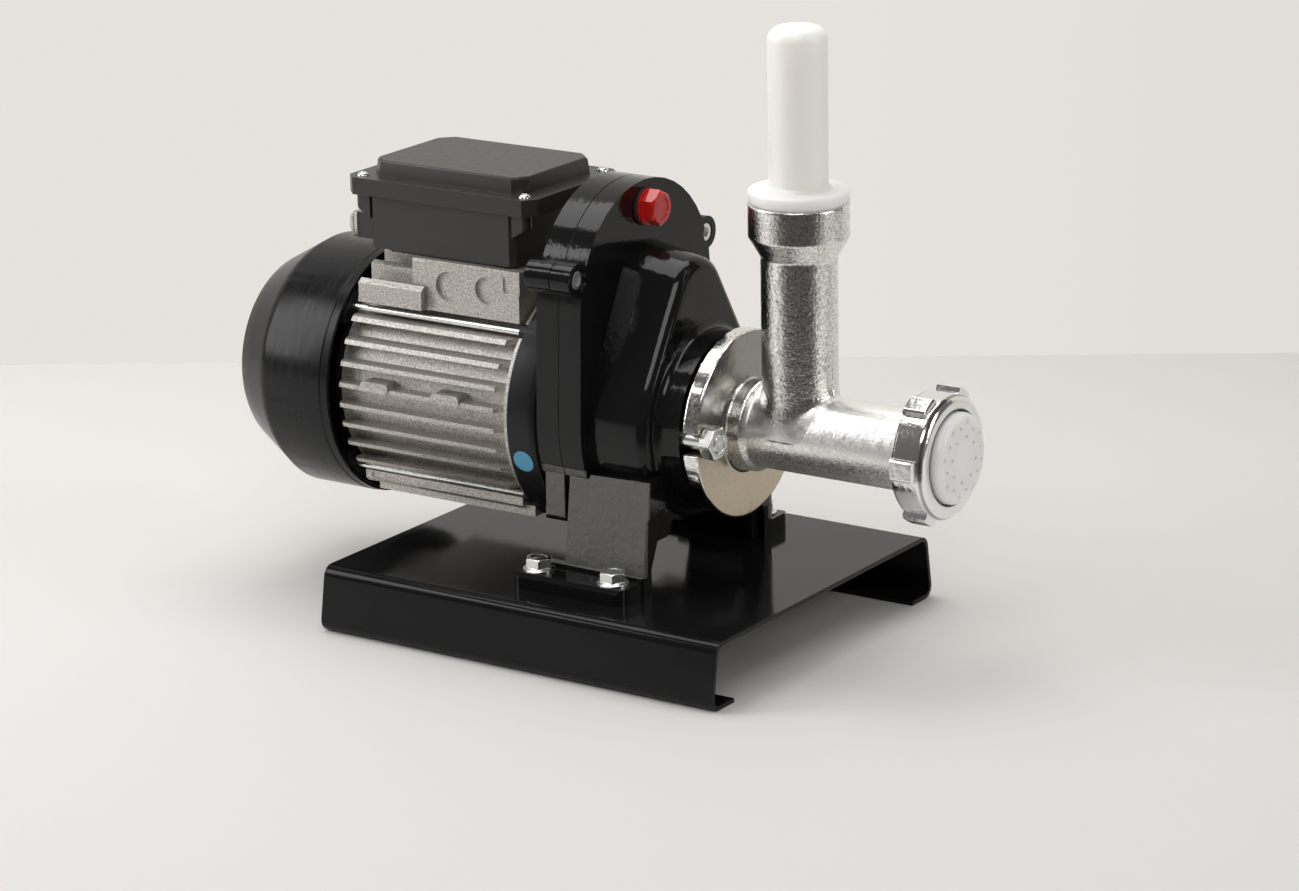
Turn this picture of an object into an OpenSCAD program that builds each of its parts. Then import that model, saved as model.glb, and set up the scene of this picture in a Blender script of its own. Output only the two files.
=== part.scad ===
// Electric pasta extruder: a geared motor on a folded sheet base turns an auger in a cast
// aluminium barrel, with a pusher in its feed tube and a die under a ring nut.
// All sizes are in millimetres. Lengths along the machine are measured from the front face
// of the barrel flange, on the auger's axis; +X runs to the die and +Z up.

/* [Base plate] */
// Length of the folded base plate
base_l = 250.5; // [220:0.5:300]
// Width across the top of the plate
base_w = 211; // [200:1:240]
// Height of the plate's side flanges
base_h = 36; // [28:1:50]
// Thickness of the sheet
base_t = 2.5; // [1.5:0.5:4]
// How far each side flange leans out at its foot
base_lean = 6; // [0:1:12]
// Width of the lip turned in under each side
base_lip = 22; // [14:1:35]
// Inside radius of the sheet's bends
base_bend = 4; // [2:1:6]
// How far the plate reaches ahead of the barrel flange
base_front = 47; // [30:1:60]

/* [Gear train] */
// Tooth module of the first stage
module_1 = 1.25; // [1.2:0.05:1.3]
// Teeth of the pinion cut on the motor shaft
teeth_1 = 14; // [13:1:15]
// Teeth of the first gear
teeth_2 = 86; // [84:1:88]
// Teeth of the second pinion, cut on the countershaft
teeth_3 = 11; // [11:1:12]
// Teeth of the gear on the output shaft
teeth_4 = 39; // [38:1:40]
// Face width of the first gear
gear_1_face = 10; // [8:1:11]
// Face width of the output gear
gear_2_face = 14; // [10:1:15]
// Play between meshing flanks, as a share of the module
backlash = 0.07; // [0.05:0.01:0.15]

/* [Gearbox] */
// Height of the output axis above the base plate
axis_rise = 83; // [78:1:95]
// Room round the first gear inside the case
case_room = 2.2; // [1.5:0.1:4]
// Wall of the cast case
case_wall = 4.5; // [3.5:0.5:5]
// Radius of the case round the motor axis
case_low_r = 64; // [63:0.5:68]
// Depth of the rear half of the case
rear_depth = 14; // [13:0.5:18]
// Depth of the front half, without its boss
front_depth = 14; // [13:0.5:18]
// Length of the boss that holds the output gear
boss_l = 35; // [34:1:45]
// Room round the output gear inside the boss
boss_room = 1.15; // [1:0.05:2]
// Radius of the boss round the countershaft bearing
boss_top_r = 23.8; // [22:0.2:26]
// Radius of the round neck in front of the boss
neck_r = 47; // [46:0.5:50]
// Length of the neck
neck_l = 15; // [14:0.5:20]
// Fillet between the neck and the boss
neck_fillet = 5; // [3:0.5:6]
// Radius of the cast lugs for the case screws
lug_r = 9; // [8:0.5:10]
// Distance of the lugs from the middle plane
lug_y = 61; // [60:0.5:63]
// Height of the lugs above the output axis
lug_z = 82.5; // [80:0.5:86]
// Thickness of the foot flanges
foot_t = 8.5; // [7:0.5:11]
// Distance of the foot's outer edge from the middle plane
foot_y = 83; // [82:0.5:90]
// Distance of the foot bolts from the middle plane
foot_bolt_y = 72.2; // [72:0.1:74]
// Spacing of the foot bolts along the machine
foot_bolt_pitch = 47; // [44:0.5:50]
// Across flats of the oil plug
plug_af = 17; // [15:1:19]

/* [Motor] */
// Length of the motor's black front shield
shield_l = 18; // [16:1:22]
// Radius of the front shield
shield_r = 67; // [66:0.5:70]
// Length of the aluminium frame
frame_l = 116; // [110:1:130]
// Radius over the tips of the cooling fins
fin_r = 66; // [63:0.5:66]
// Outer radius of the frame's plain barrel
frame_r = 57.5; // [56:0.5:60]
// Outer radius of the stator core
stator_r = 53; // [50:0.5:54]
// Radius of the stator's bore
bore_r = 33; // [30:0.5:36]
// Length of the stator core
stack_l = 60; // [50:1:70]
// Air gap between rotor and stator
air_gap = 0.45; // [0.35:0.05:0.8]
// Height of the highest side fin above the axis
fin_top = 40; // [38:0.5:41]
// Spacing of the side fins
fin_pitch = 11.35; // [10.5:0.05:11.8]
// Thickness of a fin at its tip
fin_t = 2.4; // [1.8:0.1:3]
// Radius of the fan cowl
cowl_r = 70.1; // [69.5:0.1:74]
// Radius of the cowl's rear face
cowl_rear_r = 53; // [48:1:60]
// Length of the cowl's straight part
cowl_l = 42.7; // [38:0.1:50]
// Length of the cowl's cone
cowl_cone_l = 31.2; // [25:0.1:40]
// Wall of the cowl
cowl_t = 2.5; // [2:0.1:3]
// Distance of the tie rods from the middle planes
rod_at = 44.5; // [43:0.5:44.5]
// Radius of the tie rods
rod_r = 1.8; // [1.6:0.1:2]

/* [Terminal box] */
// Length of the box body
box_l = 95.5; // [90:0.5:105]
// Width of the box body
box_w = 80; // [76:1:84]
// Height of the box body
box_h = 28; // [26:1:36]
// Wall of the box
box_t = 2.5; // [2:0.1:3]
// How far the lid stands out past the body's ends
lid_over = 12.5; // [11:0.5:15]
// Depth of the lid's flange
lid_flange_h = 9.5; // [8:0.5:12]
// Height of the raised middle of the lid
lid_raise = 8.9; // [6:0.1:12]
// Width of the switch's cut-out
switch_l = 25; // [22:1:27]
// Height of the switch's cut-out
switch_h = 11.4; // [10:0.2:13]
// Depth of the moulded seat that the switch stands in
switch_seat = 8.5; // [6:0.5:12]
// Angle of the switch's rocker either side of its middle
rocker_tilt = 7; // [4:1:9]
// Radius of the cord gland's bore
gland_bore_r = 3.7; // [3:0.1:5]

/* [Barrel] */
// Radius of the barrel flange
flange_r = 50.2; // [49:0.2:54]
// Thickness of the barrel flange
flange_t = 8.7; // [7:0.1:11]
// Gap between the flange and the gearbox neck
flange_gap = 4.3; // [3:0.1:7]
// Distance of the two studs from the axis
stud_y = 40; // [38.5:0.5:41.5]
// Outside radius of the barrel
barrel_r = 21.5; // [21:0.1:24]
// Radius of the auger bore
auger_bore_r = 16.8; // [15:0.1:17.4]
// Radius of the barrel's thick root against the flange
root_r = 24.2; // [23:0.1:26]
// Length of the root
root_l = 9; // [6:0.5:11]
// Length of the barrel from flange to ring nut
barrel_l = 105.6; // [95:0.1:120]
// Distance of the feed tube from the flange
feed_x = 32.1; // [28:0.1:38]
// Outside radius of the feed tube
feed_r = 20.1; // [20:0.1:22]
// Radius of the feed throat
throat_r = 16.5; // [14:0.1:16.6]
// Height of the feed tube's rim above the axis
feed_top = 123.6; // [110:0.1:140]
// Outside radius of the collar on the feed tube
collar_r = 26.4; // [25:0.1:29]
// Height of the collar
collar_h = 18; // [14:0.5:22]
// Height of the cone under the collar
collar_cone_h = 11; // [8:0.5:14]

/* [Nozzle] */
// Outside radius of the ring nut
ring_r = 33; // [32.5:0.1:36]
// Length of the ring nut
ring_l = 18.7; // [17:0.1:22]
// Number of grip lugs on the ring nut
ring_lugs = 6; // [4:1:8]
// How far the lugs stand out
ring_lug_h = 3.5; // [2:0.1:4.5]
// Width of a lug
ring_lug_w = 11; // [8:0.5:13]
// Rounding of the ring nut's front edge
ring_round = 4.5; // [2:0.5:5]
// Radius of the die where it shows
die_r = 24; // [23:0.1:25]
// How far the die domes out of the ring nut
die_dome = 6; // [4:0.5:8]
// Rounding of the die's rim
die_round = 4.2; // [2:0.2:5]
// Radius of the die's holes
die_hole_r = 0.9; // [0.7:0.1:1.2]

/* [Pusher] */
// Radius of the pusher's handle
handle_r = 15.5; // [14:0.1:16]
// Height of the pusher above the collar's rim
handle_top = 91.2; // [80:0.5:110]
// Thickness of the pusher's stop collar
stop_h = 7; // [5:0.5:9]
// Length of the pusher inside the feed tube
plunge = 78; // [60:1:80]

/* [Auger] */
// Radius over the auger's flight
flight_r = 16.3; // [14:0.1:16.3]
// Radius of the auger's core
core_r = 8; // [7:0.1:10]
// Turns of the flight
flight_turns = 4.5; // [3:0.5:6]

/* [Hidden] */
$fn = 72;

// Clearances
fit = 0.03;            // radial play of a running or seated round fit
slip = 0.3;            // play of a part that lifts or slides by hand
bite = 0.01;           // overlap that fuses two shapes of one casting
far = 400;             // longer than anything that is cut

// Gear train
centre_d = module_1 * (teeth_1 + teeth_2) / 2;
module_2 = 2 * centre_d / (teeth_3 + teeth_4);
addendum = 0.9;        // of the module
dedendum = 1.2;        // of the module
pressure_angle = 20;
tip_1 = module_1 * (teeth_2 / 2 + addendum);
tip_2 = module_2 * (teeth_4 / 2 + addendum);

// Stations along the machine, each the front of what its name says
x_neck = -(flange_t + flange_gap);
x_boss = x_neck - neck_l;
x_cover = x_boss - boss_l;
x_split = x_cover - front_depth;
x_back = x_split - rear_depth;
x_frame = x_back - shield_l;
x_rear = x_frame - frame_l;
x_cone = x_rear - cowl_l;
x_tail = x_cone - cowl_cone_l;
x_ring = barrel_l + ring_l;
x_nose = x_ring + die_dome;
// The machine is lifted to stand on the ground, with its middle over the origin
lift = base_h + axis_rise;
centre = -(x_nose + x_tail) / 2;

// Case
case_top_r = module_1 * (teeth_2 / 2 + 1) + case_room + case_wall;
boss_r = module_2 * (teeth_4 / 2 + 1) + boss_room + 4;
boss_wall = 4;
gasket_t = 0.6;
stub_z = [-50, -24];
leg_top = [60, -21];    // distance from the middle plane and height of the leg's ledge
leg_foot = [62.5, -70]; // the same, where the leg meets its foot
leg_wall = 7;
leg_front = x_boss + 5;
leg_back = x_split + 4;
leg_lean = 3.2;        // how far the leg's edges lean back on the way down
web_in = 49;           // inner edge of the leg's front web
web_z = -58;           // lower edge of the web beside the leg
web_mid = [30, -50.5]; // half width and lower edge of the web under the neck
web_round = 6;
foot_back = x_back - 6.5;
foot_front = x_boss + 1;
foot_round = 6;        // corner of the foot, seen from above
foot_chamfer = 2;
foot_bolt_x = foot_front - 11.7;
screw_r = 3;           // M6
foot_screw_r = 4;      // M8

// Bearings: bore radius, outer radius, width
brg_motor = [7.5, 17.5, 11];
brg_counter = [6, 14, 8];
brg_out_rear = [12.5, 26, 15];
brg_out_front = [12.5, 23.5, 12];
x_brg_motor_front = x_back - 2.5;
x_brg_motor_rear = x_rear + 1.5;
x_brg_counter_rear = x_back + 1.5;
x_brg_counter_front = x_boss - 4 - brg_counter[2];
x_out_meet = x_neck - 20;
x_seal_out = x_out_meet + brg_out_front[2];
seal_t = 4;
seal_motor_r = 12.5;
x_seal_motor = x_back + 0.5;

// Shafts and gears
x_gear_1 = x_back + 11;
x_pinion_1_end = x_gear_1 + gear_1_face + 1;
x_gear_2 = x_cover - 1.5;
shaft_seat_r = 7;      // countershaft under the first gear
out_seat_r = 14;       // output shaft under its gear
key_w = 4;
key_h = 1.5;           // height of a key above its shaft
hex_af = 12;           // drive between output shaft and auger
hex_l = 20;
x_out_front = -5;

// Motor
shell_r = stator_r + 0.03;
x_stack = x_rear + 27;
rotor_r = bore_r - air_gap;
slots = 24;
ring_end = 3;
fins = 8;
pedestal_y = 45;
pedestal_x = [x_rear + 41.5, x_frame - 5];
knockouts = [[pedestal_x[0] + 23.5, 63.4, 8.3], [pedestal_x[0] + 48.5, 64.4, 7.5]];
pad_x = [x_rear + 29, x_rear + 76];
pedestal_z = [49, 76.5];
keel_x = [x_rear + 5, x_frame - 6];
keel_z = -53.5;
keel_in_z = -57.5;
rod_nut_af = 7;
rod_boss_r = rod_r + 2.6;

// Terminal box
box_gasket_t = 1;
box_at = 57;            // distance of the box's middle from the frame's rear end
box_x = x_rear + box_at;
box_z = pedestal_z[1] + box_gasket_t;
box_top = box_z + box_h;
lid_z = box_top + 0.8;
lid_l = box_l + 2 * lid_over + 3;
lid_w = box_w + 6;
lid_top = lid_z + lid_flange_h;
lid_t = 2.5;
lid_cut = 6;           // cut corner of the lid's flange
raise_cut = 7;         // cut corner of its raised middle
box_lug_r = 3.5;       // round end of the lugs that take the lid's screws
lid_screw = [(box_l + 2 * lid_over) / 2 - 7, box_w / 2 - box_lug_r];
switch_at = [box_x - box_l / 2 - switch_seat, 17 - box_w / 2, box_z + 10.5];
bezel = 1.3;           // how far the bezel stands over its cut-out all round
bezel_t = 2;
rocker_y = switch_l / 2 - 2;
rocker_dip = 2.4;      // depth of the rocker's hollow face
gland_x = box_x - 12;
gland_z = box_z + 14;

// Barrel
cup_r = 30;
cup_in_r = 27.2;
cup_x = barrel_l + 1.5;
cup_l = 11.8;
die_seat = cup_x + 3.5;
die_flange_t = 4;
spigot_r = 30;
spigot_l = 3;
nut_h = 7.5;
nut_af = 16;           // M10
stud_r = 5;
notch_w = 11.4;
flight_l = die_seat - 4;

// Across-corners radius of a hexagon with the given width across flats
function hex_r(af) = af / 2 / cos(30);
// Points of an arc
function arc(c, r, a0, a1, n) = [for (i = [0:n]) c + r * [cos(a0 + (a1 - a0) * i / n),
    sin(a0 + (a1 - a0) * i / n)]];
// Round-cornered rectangle
function plate(w, h, r, n = 4) = concat(
    arc([w / 2 - r, h / 2 - r], r, 0, 90, n), arc([r - w / 2, h / 2 - r], r, 90, 180, n),
    arc([r - w / 2, r - h / 2], r, 180, 270, n), arc([w / 2 - r, r - h / 2], r, 270, 360, n));
// Outline of two circles, a low one at the origin and another above it, with their tangents
function pear(r_low, r_top, rise, n = 20) = let (t = asin((r_low - r_top) / rise)) concat(
    arc([0, rise], r_top, t, 180 - t, n), arc([0, 0], r_low, 180 - t, 360 + t, 2 * n));

// Solids along the machine's axis: a rod, a turned profile of [x, radius] points, and a
// flat outline in [y, z] drawn out between two stations
module rod(r, x0, x1) translate([x0, 0, 0]) rotate([0, 90, 0]) cylinder(r = r, h = x1 - x0);
module turned(points) rotate([90, 0, 90]) rotate_extrude() polygon([for (p = points) [p[1], p[0]]]);
module slab(x0, x1) translate([x0, 0, 0]) rotate([90, 0, 90]) linear_extrude(x1 - x0) children();
module tube(r, r_in, x0, x1) difference() {
    rod(r, x0, x1);
    rod(r_in, x0 - 1, x1 + 1);
}
module hex_rod(af, x0, x1) translate([x0, 0, 0]) rotate([0, 90, 0])
    cylinder(r = hex_r(af), h = x1 - x0, $fn = 6);
module both_sides() for (s = [0, 1]) mirror([0, s, 0]) children();
module machine() translate([centre, 0, lift]) children();
// A socket-head screw pointing to -X, with its head's rear face at the origin
module socket_screw(r, l, head_h) difference() {
    union() {
        rod(r, -l, bite);
        rod(1.65 * r, 0, head_h);
    }
    hex_rod(1.6 * r, head_h * 0.45, head_h + 1);
}
// A sealed ball bearing, with the recess of its shields on both faces
module bearing(b, x) translate([x, 0, 0]) turned([[0, b[0] + fit], [b[2], b[0] + fit],
    [b[2], b[0] + 1.6], [b[2] - 0.5, b[0] + 1.8], [b[2] - 0.5, b[1] - 1.8], [b[2], b[1] - 1.6],
    [b[2], b[1]], [0, b[1]], [0, b[1] - 1.6], [0.5, b[1] - 1.8], [0.5, b[0] + 1.8], [0, b[0] + 1.6]]);

// ---- Base ------------------------------------------------------------------------------

// One side of the folded sheet's outline, from the lip's edge to the top bend
function base_bends(r) = let (lean = atan(base_lean / base_h), outer = base_bend + base_t,
    y_low = (outer + sin(lean) * (outer - base_h)) / cos(lean) - base_w / 2,
    y_top = outer * (1 - sin(lean)) / cos(lean) - base_w / 2) concat(
    arc([y_low, outer - base_h], r, 270, 180 - lean, 6), arc([y_top, -outer], r, 180 - lean, 90, 6));
base_lip_y = base_w / 2 + base_lean - base_lip;

module base_plate() {
    outer = base_bends(base_bend + base_t);
    inner = base_bends(base_bend);
    outside = concat([[-base_lip_y, -base_h]], outer);
    inside = concat([[-base_lip_y, base_t - base_h]], inner);
    color([0.09, 0.09, 0.095]) machine() translate([0, 0, -axis_rise]) difference() {
        slab(base_front - base_l, base_front) polygon(concat(outside,
            [for (i = [len(outside) - 1:-1:0]) [-outside[i][0], outside[i][1]]],
            [for (p = inside) [-p[0], p[1]]], [for (i = [len(inside) - 1:-1:0]) inside[i]]));
        at_foot_bolts() translate([0, 0, -far / 2]) cylinder(r = foot_screw_r + 0.4, h = far);
    }
}

module at_foot_bolts() both_sides() for (i = [0, 1])
    translate([foot_bolt_x - i * foot_bolt_pitch, -foot_bolt_y, 0]) children();

// ---- Gearbox ---------------------------------------------------------------------------

module case_outline(inset) polygon(pear(case_low_r - inset, case_top_r - inset, centre_d));

// A pocket for a bearing, open towards +X or -X, is cut by a rod of its outer radius
module on_countershaft() translate([0, 0, centre_d]) children();

module at_lugs() both_sides() translate([0, -lug_y, lug_z]) children();
stub_screw = [50, (stub_z[0] + stub_z[1]) / 2];
stub_bevel = 2.5;
stub_boss_r = 7;
module at_stubs() both_sides() translate([0, -stub_screw[0], stub_screw[1]]) children();
flange_screw_at = 35;
module at_flange_screws() for (a = [45:90:315])
    translate([0, flange_screw_at * sqrt(2) * cos(a), flange_screw_at * sqrt(2) * sin(a)]) children();

// A square stub, bevelled below and behind, that takes a case screw beside the leg
module stub() intersection() {
    slab(x_back, x_split) polygon([[-leg_top[0], stub_z[1]], [-leg_top[0], stub_z[0] + stub_bevel],
        [stub_bevel * 1.2 - leg_top[0], stub_z[0] - 1], [12 - stub_screw[0], stub_z[0] - 1],
        [12 - stub_screw[0], stub_z[1]]]);
    translate([0, 0, -far / 2]) linear_extrude(far) polygon([[x_back, 0], [x_split, 0], [x_split, -far],
        [x_back + stub_bevel, -far], [x_back + stub_bevel, -leg_top[0]], [x_back, stub_bevel - leg_top[0]]]);
}

module gearbox_rear_half() {
    color([0.08, 0.08, 0.085]) machine() difference() {
        union() {
            difference() {
                union() {
                    slab(x_back, x_split) case_outline(0);
                    at_lugs() rod(lug_r, x_back - 1.5, x_split);
                    both_sides() stub();
                }
                slab(x_back + 4, x_split + 1) case_outline(case_wall);
            }
            on_countershaft() rod(brg_counter[1] + 4, x_back, x_brg_counter_rear + brg_counter[2]);
            rod(seal_motor_r + 4, x_back, x_seal_motor + seal_t + 2);
            at_stubs() rod(stub_boss_r, x_back, x_split);
        }
        on_countershaft() rod(brg_counter[1] + fit, x_brg_counter_rear, 0);
        rod(seal_motor_r + fit, x_seal_motor, 0);
        rod(brg_motor[0] + 1, x_back - 1, 0);
        at_lugs() rod(screw_r + fit, x_split - 11, 0);
        at_stubs() rod(screw_r + 0.3, x_back - 2, 0);
        at_stubs() rod(5.3, x_back - 2, x_back + 6.5);
        at_flange_screws() rod(screw_r + 0.3, x_back - 1, 0);
    }
}

// The teardrop boss grows a little towards the case, and its front edge is rounded
module boss_shape() hull() {
    slab(x_cover - bite, x_cover) polygon(pear(boss_r + 0.6, boss_top_r + 3.5, centre_d + 2, 12));
    for (e = [[6, 0], [3.2, 1], [1.2, 2.8], [0, 6]]) slab(x_boss - e[1] - bite, x_boss - e[1])
        polygon(pear(boss_r - e[0], boss_top_r - e[0], centre_d, 12));
}

// A leg: its outer wall, whose edges lean back a little, a web across its front, and its foot
module leg() {
    intersection() {
        slab(leg_back - leg_lean, leg_front) polygon([[-leg_top[0], leg_top[1]], [-leg_foot[0], leg_foot[1]],
            [-leg_foot[0], -axis_rise], [leg_wall - leg_foot[0], -axis_rise],
            [leg_wall - leg_foot[0], leg_foot[1]], [12 - leg_top[0], web_mid[1]],
            [20 - leg_top[0], leg_top[1]]]);
        translate([0, far / 2, 0]) rotate([90, 0, 0]) linear_extrude(far) polygon(leg_side());
    }
    slab(x_boss - 8, x_boss - 2) polygon(concat([[1 - leg_top[0], leg_top[1]], [1 - leg_foot[0], leg_foot[1]],
        [1 - leg_foot[0], -axis_rise], [-web_in, -axis_rise]],
        arc([web_round - web_in, web_z - web_round], web_round, 180, 90, 4),
        arc([-web_mid[0] - web_round + 1, web_z + web_round - 1], web_round - 1, 270, 360, 4),
        [[-web_mid[0], leg_top[1]]]));
    foot();
}
// The leg's outline from the side: a step in its ledge and in its front edge, and a nick at
// each end of its base
function leg_side() = [[leg_back, leg_top[1] - 3], [leg_back + 12, leg_top[1] - 3.5],
    [leg_back + 13, leg_top[1] - 1], [leg_front, leg_top[1]], [leg_front - 0.8, leg_top[1] - 20],
    [leg_front - 1.8, leg_top[1] - 21], [leg_front - leg_lean, -axis_rise],
    [leg_back - leg_lean, -axis_rise]];
// The foot is bevelled along its outer edge and has a bead at the root of the leg
module foot() {
    intersection() {
        slab(foot_back, foot_front) polygon([[-foot_y, -axis_rise],
            [-foot_y, foot_t - axis_rise - foot_chamfer], [foot_chamfer - foot_y, foot_t - axis_rise],
            [leg_wall - leg_foot[0], foot_t - axis_rise], [leg_wall - leg_foot[0], -axis_rise]]);
        translate([(foot_back + foot_front) / 2, 0, -axis_rise - 1]) linear_extrude(foot_t + 2)
            polygon(plate(foot_front - foot_back, 2 * foot_y, foot_round));
    }
    translate([0, bead_r - leg_foot[0] - 0.8, foot_t - axis_rise + 0.6])
        rod(bead_r, foot_back + foot_round * 2, foot_front);
}
bead_r = 2.2;

module gearbox_front_half() {
    color([0.08, 0.08, 0.085]) machine() difference() {
        union() {
            difference() {
                union() {
                    slab(x_split + gasket_t, x_cover) case_outline(0);
                    boss_shape();
                    at_lugs() rod(lug_r, x_split + gasket_t, x_cover - 1.5);
                    turned([[x_boss - 1, 0], [x_boss - 1, neck_r + neck_fillet],
                        for (p = arc([x_boss, neck_r] + [1, 1] * neck_fillet, neck_fillet, 180, 270, 6)) p,
                        [x_neck, neck_r], [x_neck, 0]]);
                    both_sides() leg();
                    slab(x_boss - 8, x_boss - 2) translate([-web_mid[0] - 1, web_mid[1]])
                        square([2 * web_mid[0] + 2, 30]);
                }
                slab(x_split - 1, x_cover - case_wall) case_outline(case_wall);
                slab(x_cover - case_wall - 1, x_boss - boss_wall)
                    polygon(pear(boss_r - boss_wall, boss_top_r - boss_wall, centre_d));
            }
            on_countershaft() rod(brg_counter[1] + 3.6, x_brg_counter_front, x_boss - boss_wall + 1);
            rod(brg_out_rear[1] + 5, x_out_meet - brg_out_rear[2], x_boss);
            at_stubs() rod(stub_boss_r - 0.5, x_split + gasket_t, x_cover - 1);
        }
        on_countershaft() rod(brg_counter[1] + fit, x_brg_counter_front - 1,
            x_brg_counter_front + brg_counter[2]);
        rod(brg_out_rear[1] + fit, x_out_meet - brg_out_rear[2] - 1, x_out_meet);
        rod(brg_out_front[1] + fit, x_out_meet - 1, x_neck + 1);
        rod(spigot_r + fit, x_neck - spigot_l, x_neck + 1);
        at_lugs() rod(screw_r + 0.3, x_split, 0);
        at_lugs() rod(1.65 * screw_r + 0.4, x_cover - 7, 0);
        at_stubs() rod(screw_r + fit, x_split, x_split + 12);
        translate([0, 0, plug_z]) rod(plug_shank_r + fit, x_cover - 10, x_cover + 1);
        both_sides() translate([0, -stud_y, 0]) rod(stud_r + fit, x_neck - stud_in, x_neck + 1);
        at_foot_bolts() translate([0, 0, -axis_rise - 1]) cylinder(r = foot_screw_r + 0.4, h = foot_t + 2);
    }
}
plug_z = centre_d + case_top_r - 14.5;
plug_shank_r = 6;
stud_in = 16;

module gearbox_gasket() {
    color([0.2, 0.2, 0.2]) machine() difference() {
        union() {
            difference() {
                slab(x_split, x_split + gasket_t) case_outline(0.6);
                slab(x_split - 1, x_split + 1) case_outline(case_wall);
            }
            at_stubs() rod(stub_boss_r - 1, x_split, x_split + gasket_t);
        }
        at_stubs() rod(screw_r + 0.3, x_split - 1, 0);
    }
}

module case_screws() {
    color([0.75, 0.76, 0.78]) machine() {
        at_lugs() translate([x_cover - 7 + fit, 0, 0]) socket_screw(screw_r, front_depth + 3, 5);
        at_stubs() translate([x_back + 6.5 - fit, 0, 0]) mirror([1, 0, 0])
            socket_screw(screw_r, rear_depth + 3, 5.8);
    }
}

module motor_flange_screws() {
    color([0.3, 0.3, 0.32]) machine() at_flange_screws() translate([x_back + 4 + fit, 0, 0])
        socket_screw(screw_r, 13, 5);
}

module oil_plug() {
    color([0.85, 0.13, 0.11]) machine() translate([x_cover, 0, plug_z]) {
        rod(plug_shank_r, -case_wall - 0.8, 1.9);
        turned([[1.5, 0], [1.5, plug_af / 2 + 1.2], [3, plug_af / 2 + 1.2], [3, 0]]);
        intersection() {
            hex_rod(plug_af, 2.9, 11);
            turned([[2.9, 0], [2.9, 20], [8, hex_r(plug_af) + 1.5], [11, plug_af / 2 - 0.6],
                [11, plug_af / 2 - 2.6], [10.3, plug_af / 2 - 3], [10.3, 0]]);
        }
    }
}

module plug_washer() {
    color([0.05, 0.05, 0.05]) machine() translate([x_cover, 0, plug_z])
        tube(plug_af / 2 + 1.8, plug_shank_r + 0.1, 0, 1.5);
}

bolt_head_h = 7.2;
module foot_bolts() {
    color([0.78, 0.79, 0.8]) machine() at_foot_bolts() translate([0, 0, foot_t - axis_rise]) {
        translate([0, 0, -foot_t - base_t - 9]) cylinder(r = foot_screw_r, h = foot_t + base_t + 10);
        cylinder(r = 8.6, h = 0.9);
        translate([0, 0, 0.9]) cylinder(r1 = 8.6, r2 = 6.6, h = 1.3);
        difference() {
            intersection() {
                cylinder(r = hex_r(13), h = bolt_head_h, $fn = 6);
                rotate_extrude() polygon([[0, 0], [hex_r(13) + 1, 0], [hex_r(13) + 1, bolt_head_h - 1.6],
                    [6, bolt_head_h], [0, bolt_head_h]]);
            }
            translate([0, 0, bolt_head_h - 0.9]) cylinder(r1 = 3.4, r2 = 5, h = 1);
        }
    }
}

module foot_nuts() {
    color([0.74, 0.75, 0.77]) machine() at_foot_bolts() translate([0, 0, -axis_rise - base_t])
        difference() {
            union() {
                translate([0, 0, -1.5]) cylinder(r = 8, h = 1.5);
                translate([0, 0, -8]) cylinder(r = hex_r(13), h = 6.6, $fn = 6);
            }
            translate([0, 0, -9]) cylinder(r = foot_screw_r + fit, h = 10);
        }
}

// ---- Motor -----------------------------------------------------------------------------

module at_rods() for (y = [-rod_at, rod_at], z = [-rod_at, rod_at]) translate([0, y, z]) children();

module motor_front_shield() {
    color([0.07, 0.07, 0.075]) machine() difference() {
        union() {
            difference() {
                turned([[x_frame, 0], [x_frame, shield_r - 1], [x_frame + 1, shield_r],
                    [x_back - 4, shield_r], [x_back - 1, shield_r - 1.5], [x_back, shield_r - 4],
                    [x_back, 0]]);
                rod(frame_r - 4.5, x_frame - 1, x_back - 6);
            }
            tube(shell_r - fit, shell_r - 5, x_frame - 4, x_frame + 1);
            rod(brg_motor[1] + 5, x_brg_motor_front - brg_motor[2], x_back - 1);
            at_rods() rod(rod_boss_r, x_frame - ring_end, x_back - 10);
        }
        rod(brg_motor[1] + fit, x_frame - 20, x_brg_motor_front);
        rod(brg_motor[0] + 1, x_frame, x_back + 1);
        at_rods() rod(rod_r + fit, x_frame - 10, x_back - 11);
        at_flange_screws() rod(screw_r + fit, x_back - 12, x_back + 1);
    }
}

// Flat side fins, cut to a round envelope that draws in to the front ring
module motor_frame() {
    color([0.77, 0.76, 0.74]) machine() difference() {
        union() {
            rod(frame_r, x_rear, x_frame);
            rod(fin_r - 1.5, x_frame - ring_end, x_frame);
            intersection() {
                side_fins();
                turned([[x_rear + 3, 0], [x_rear + 3, fin_r - 3], [x_rear + 5, fin_r], [x_frame - 9, fin_r],
                    [x_frame - ring_end, frame_r], [x_frame - ring_end, 0]]);
            }
            top_fins();
            pedestal();
            keel();
            for (x = pad_x) both_sides()
                translate([x, 9.4 - fin_r, fin_top - 3 * fin_pitch + 1.6]) rotate([90, 0, 0])
                    linear_extrude(10) polygon(plate(18, 5.4, 2));
        }
        rod(shell_r, x_rear - 1, x_frame + 1);
        at_rods() rod(rod_r + 0.4, x_rear - 1, x_frame + 1);
        at_rods() rod(rod_boss_r + 0.1, x_frame - ring_end - 0.1, x_frame + 1);
    }
}

module side_fins() for (i = [0:fins - 1]) translate([x_rear, -far / 2, fin_top - i * fin_pitch - fin_t / 2])
    cube([frame_l, far, fin_t]);

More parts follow.
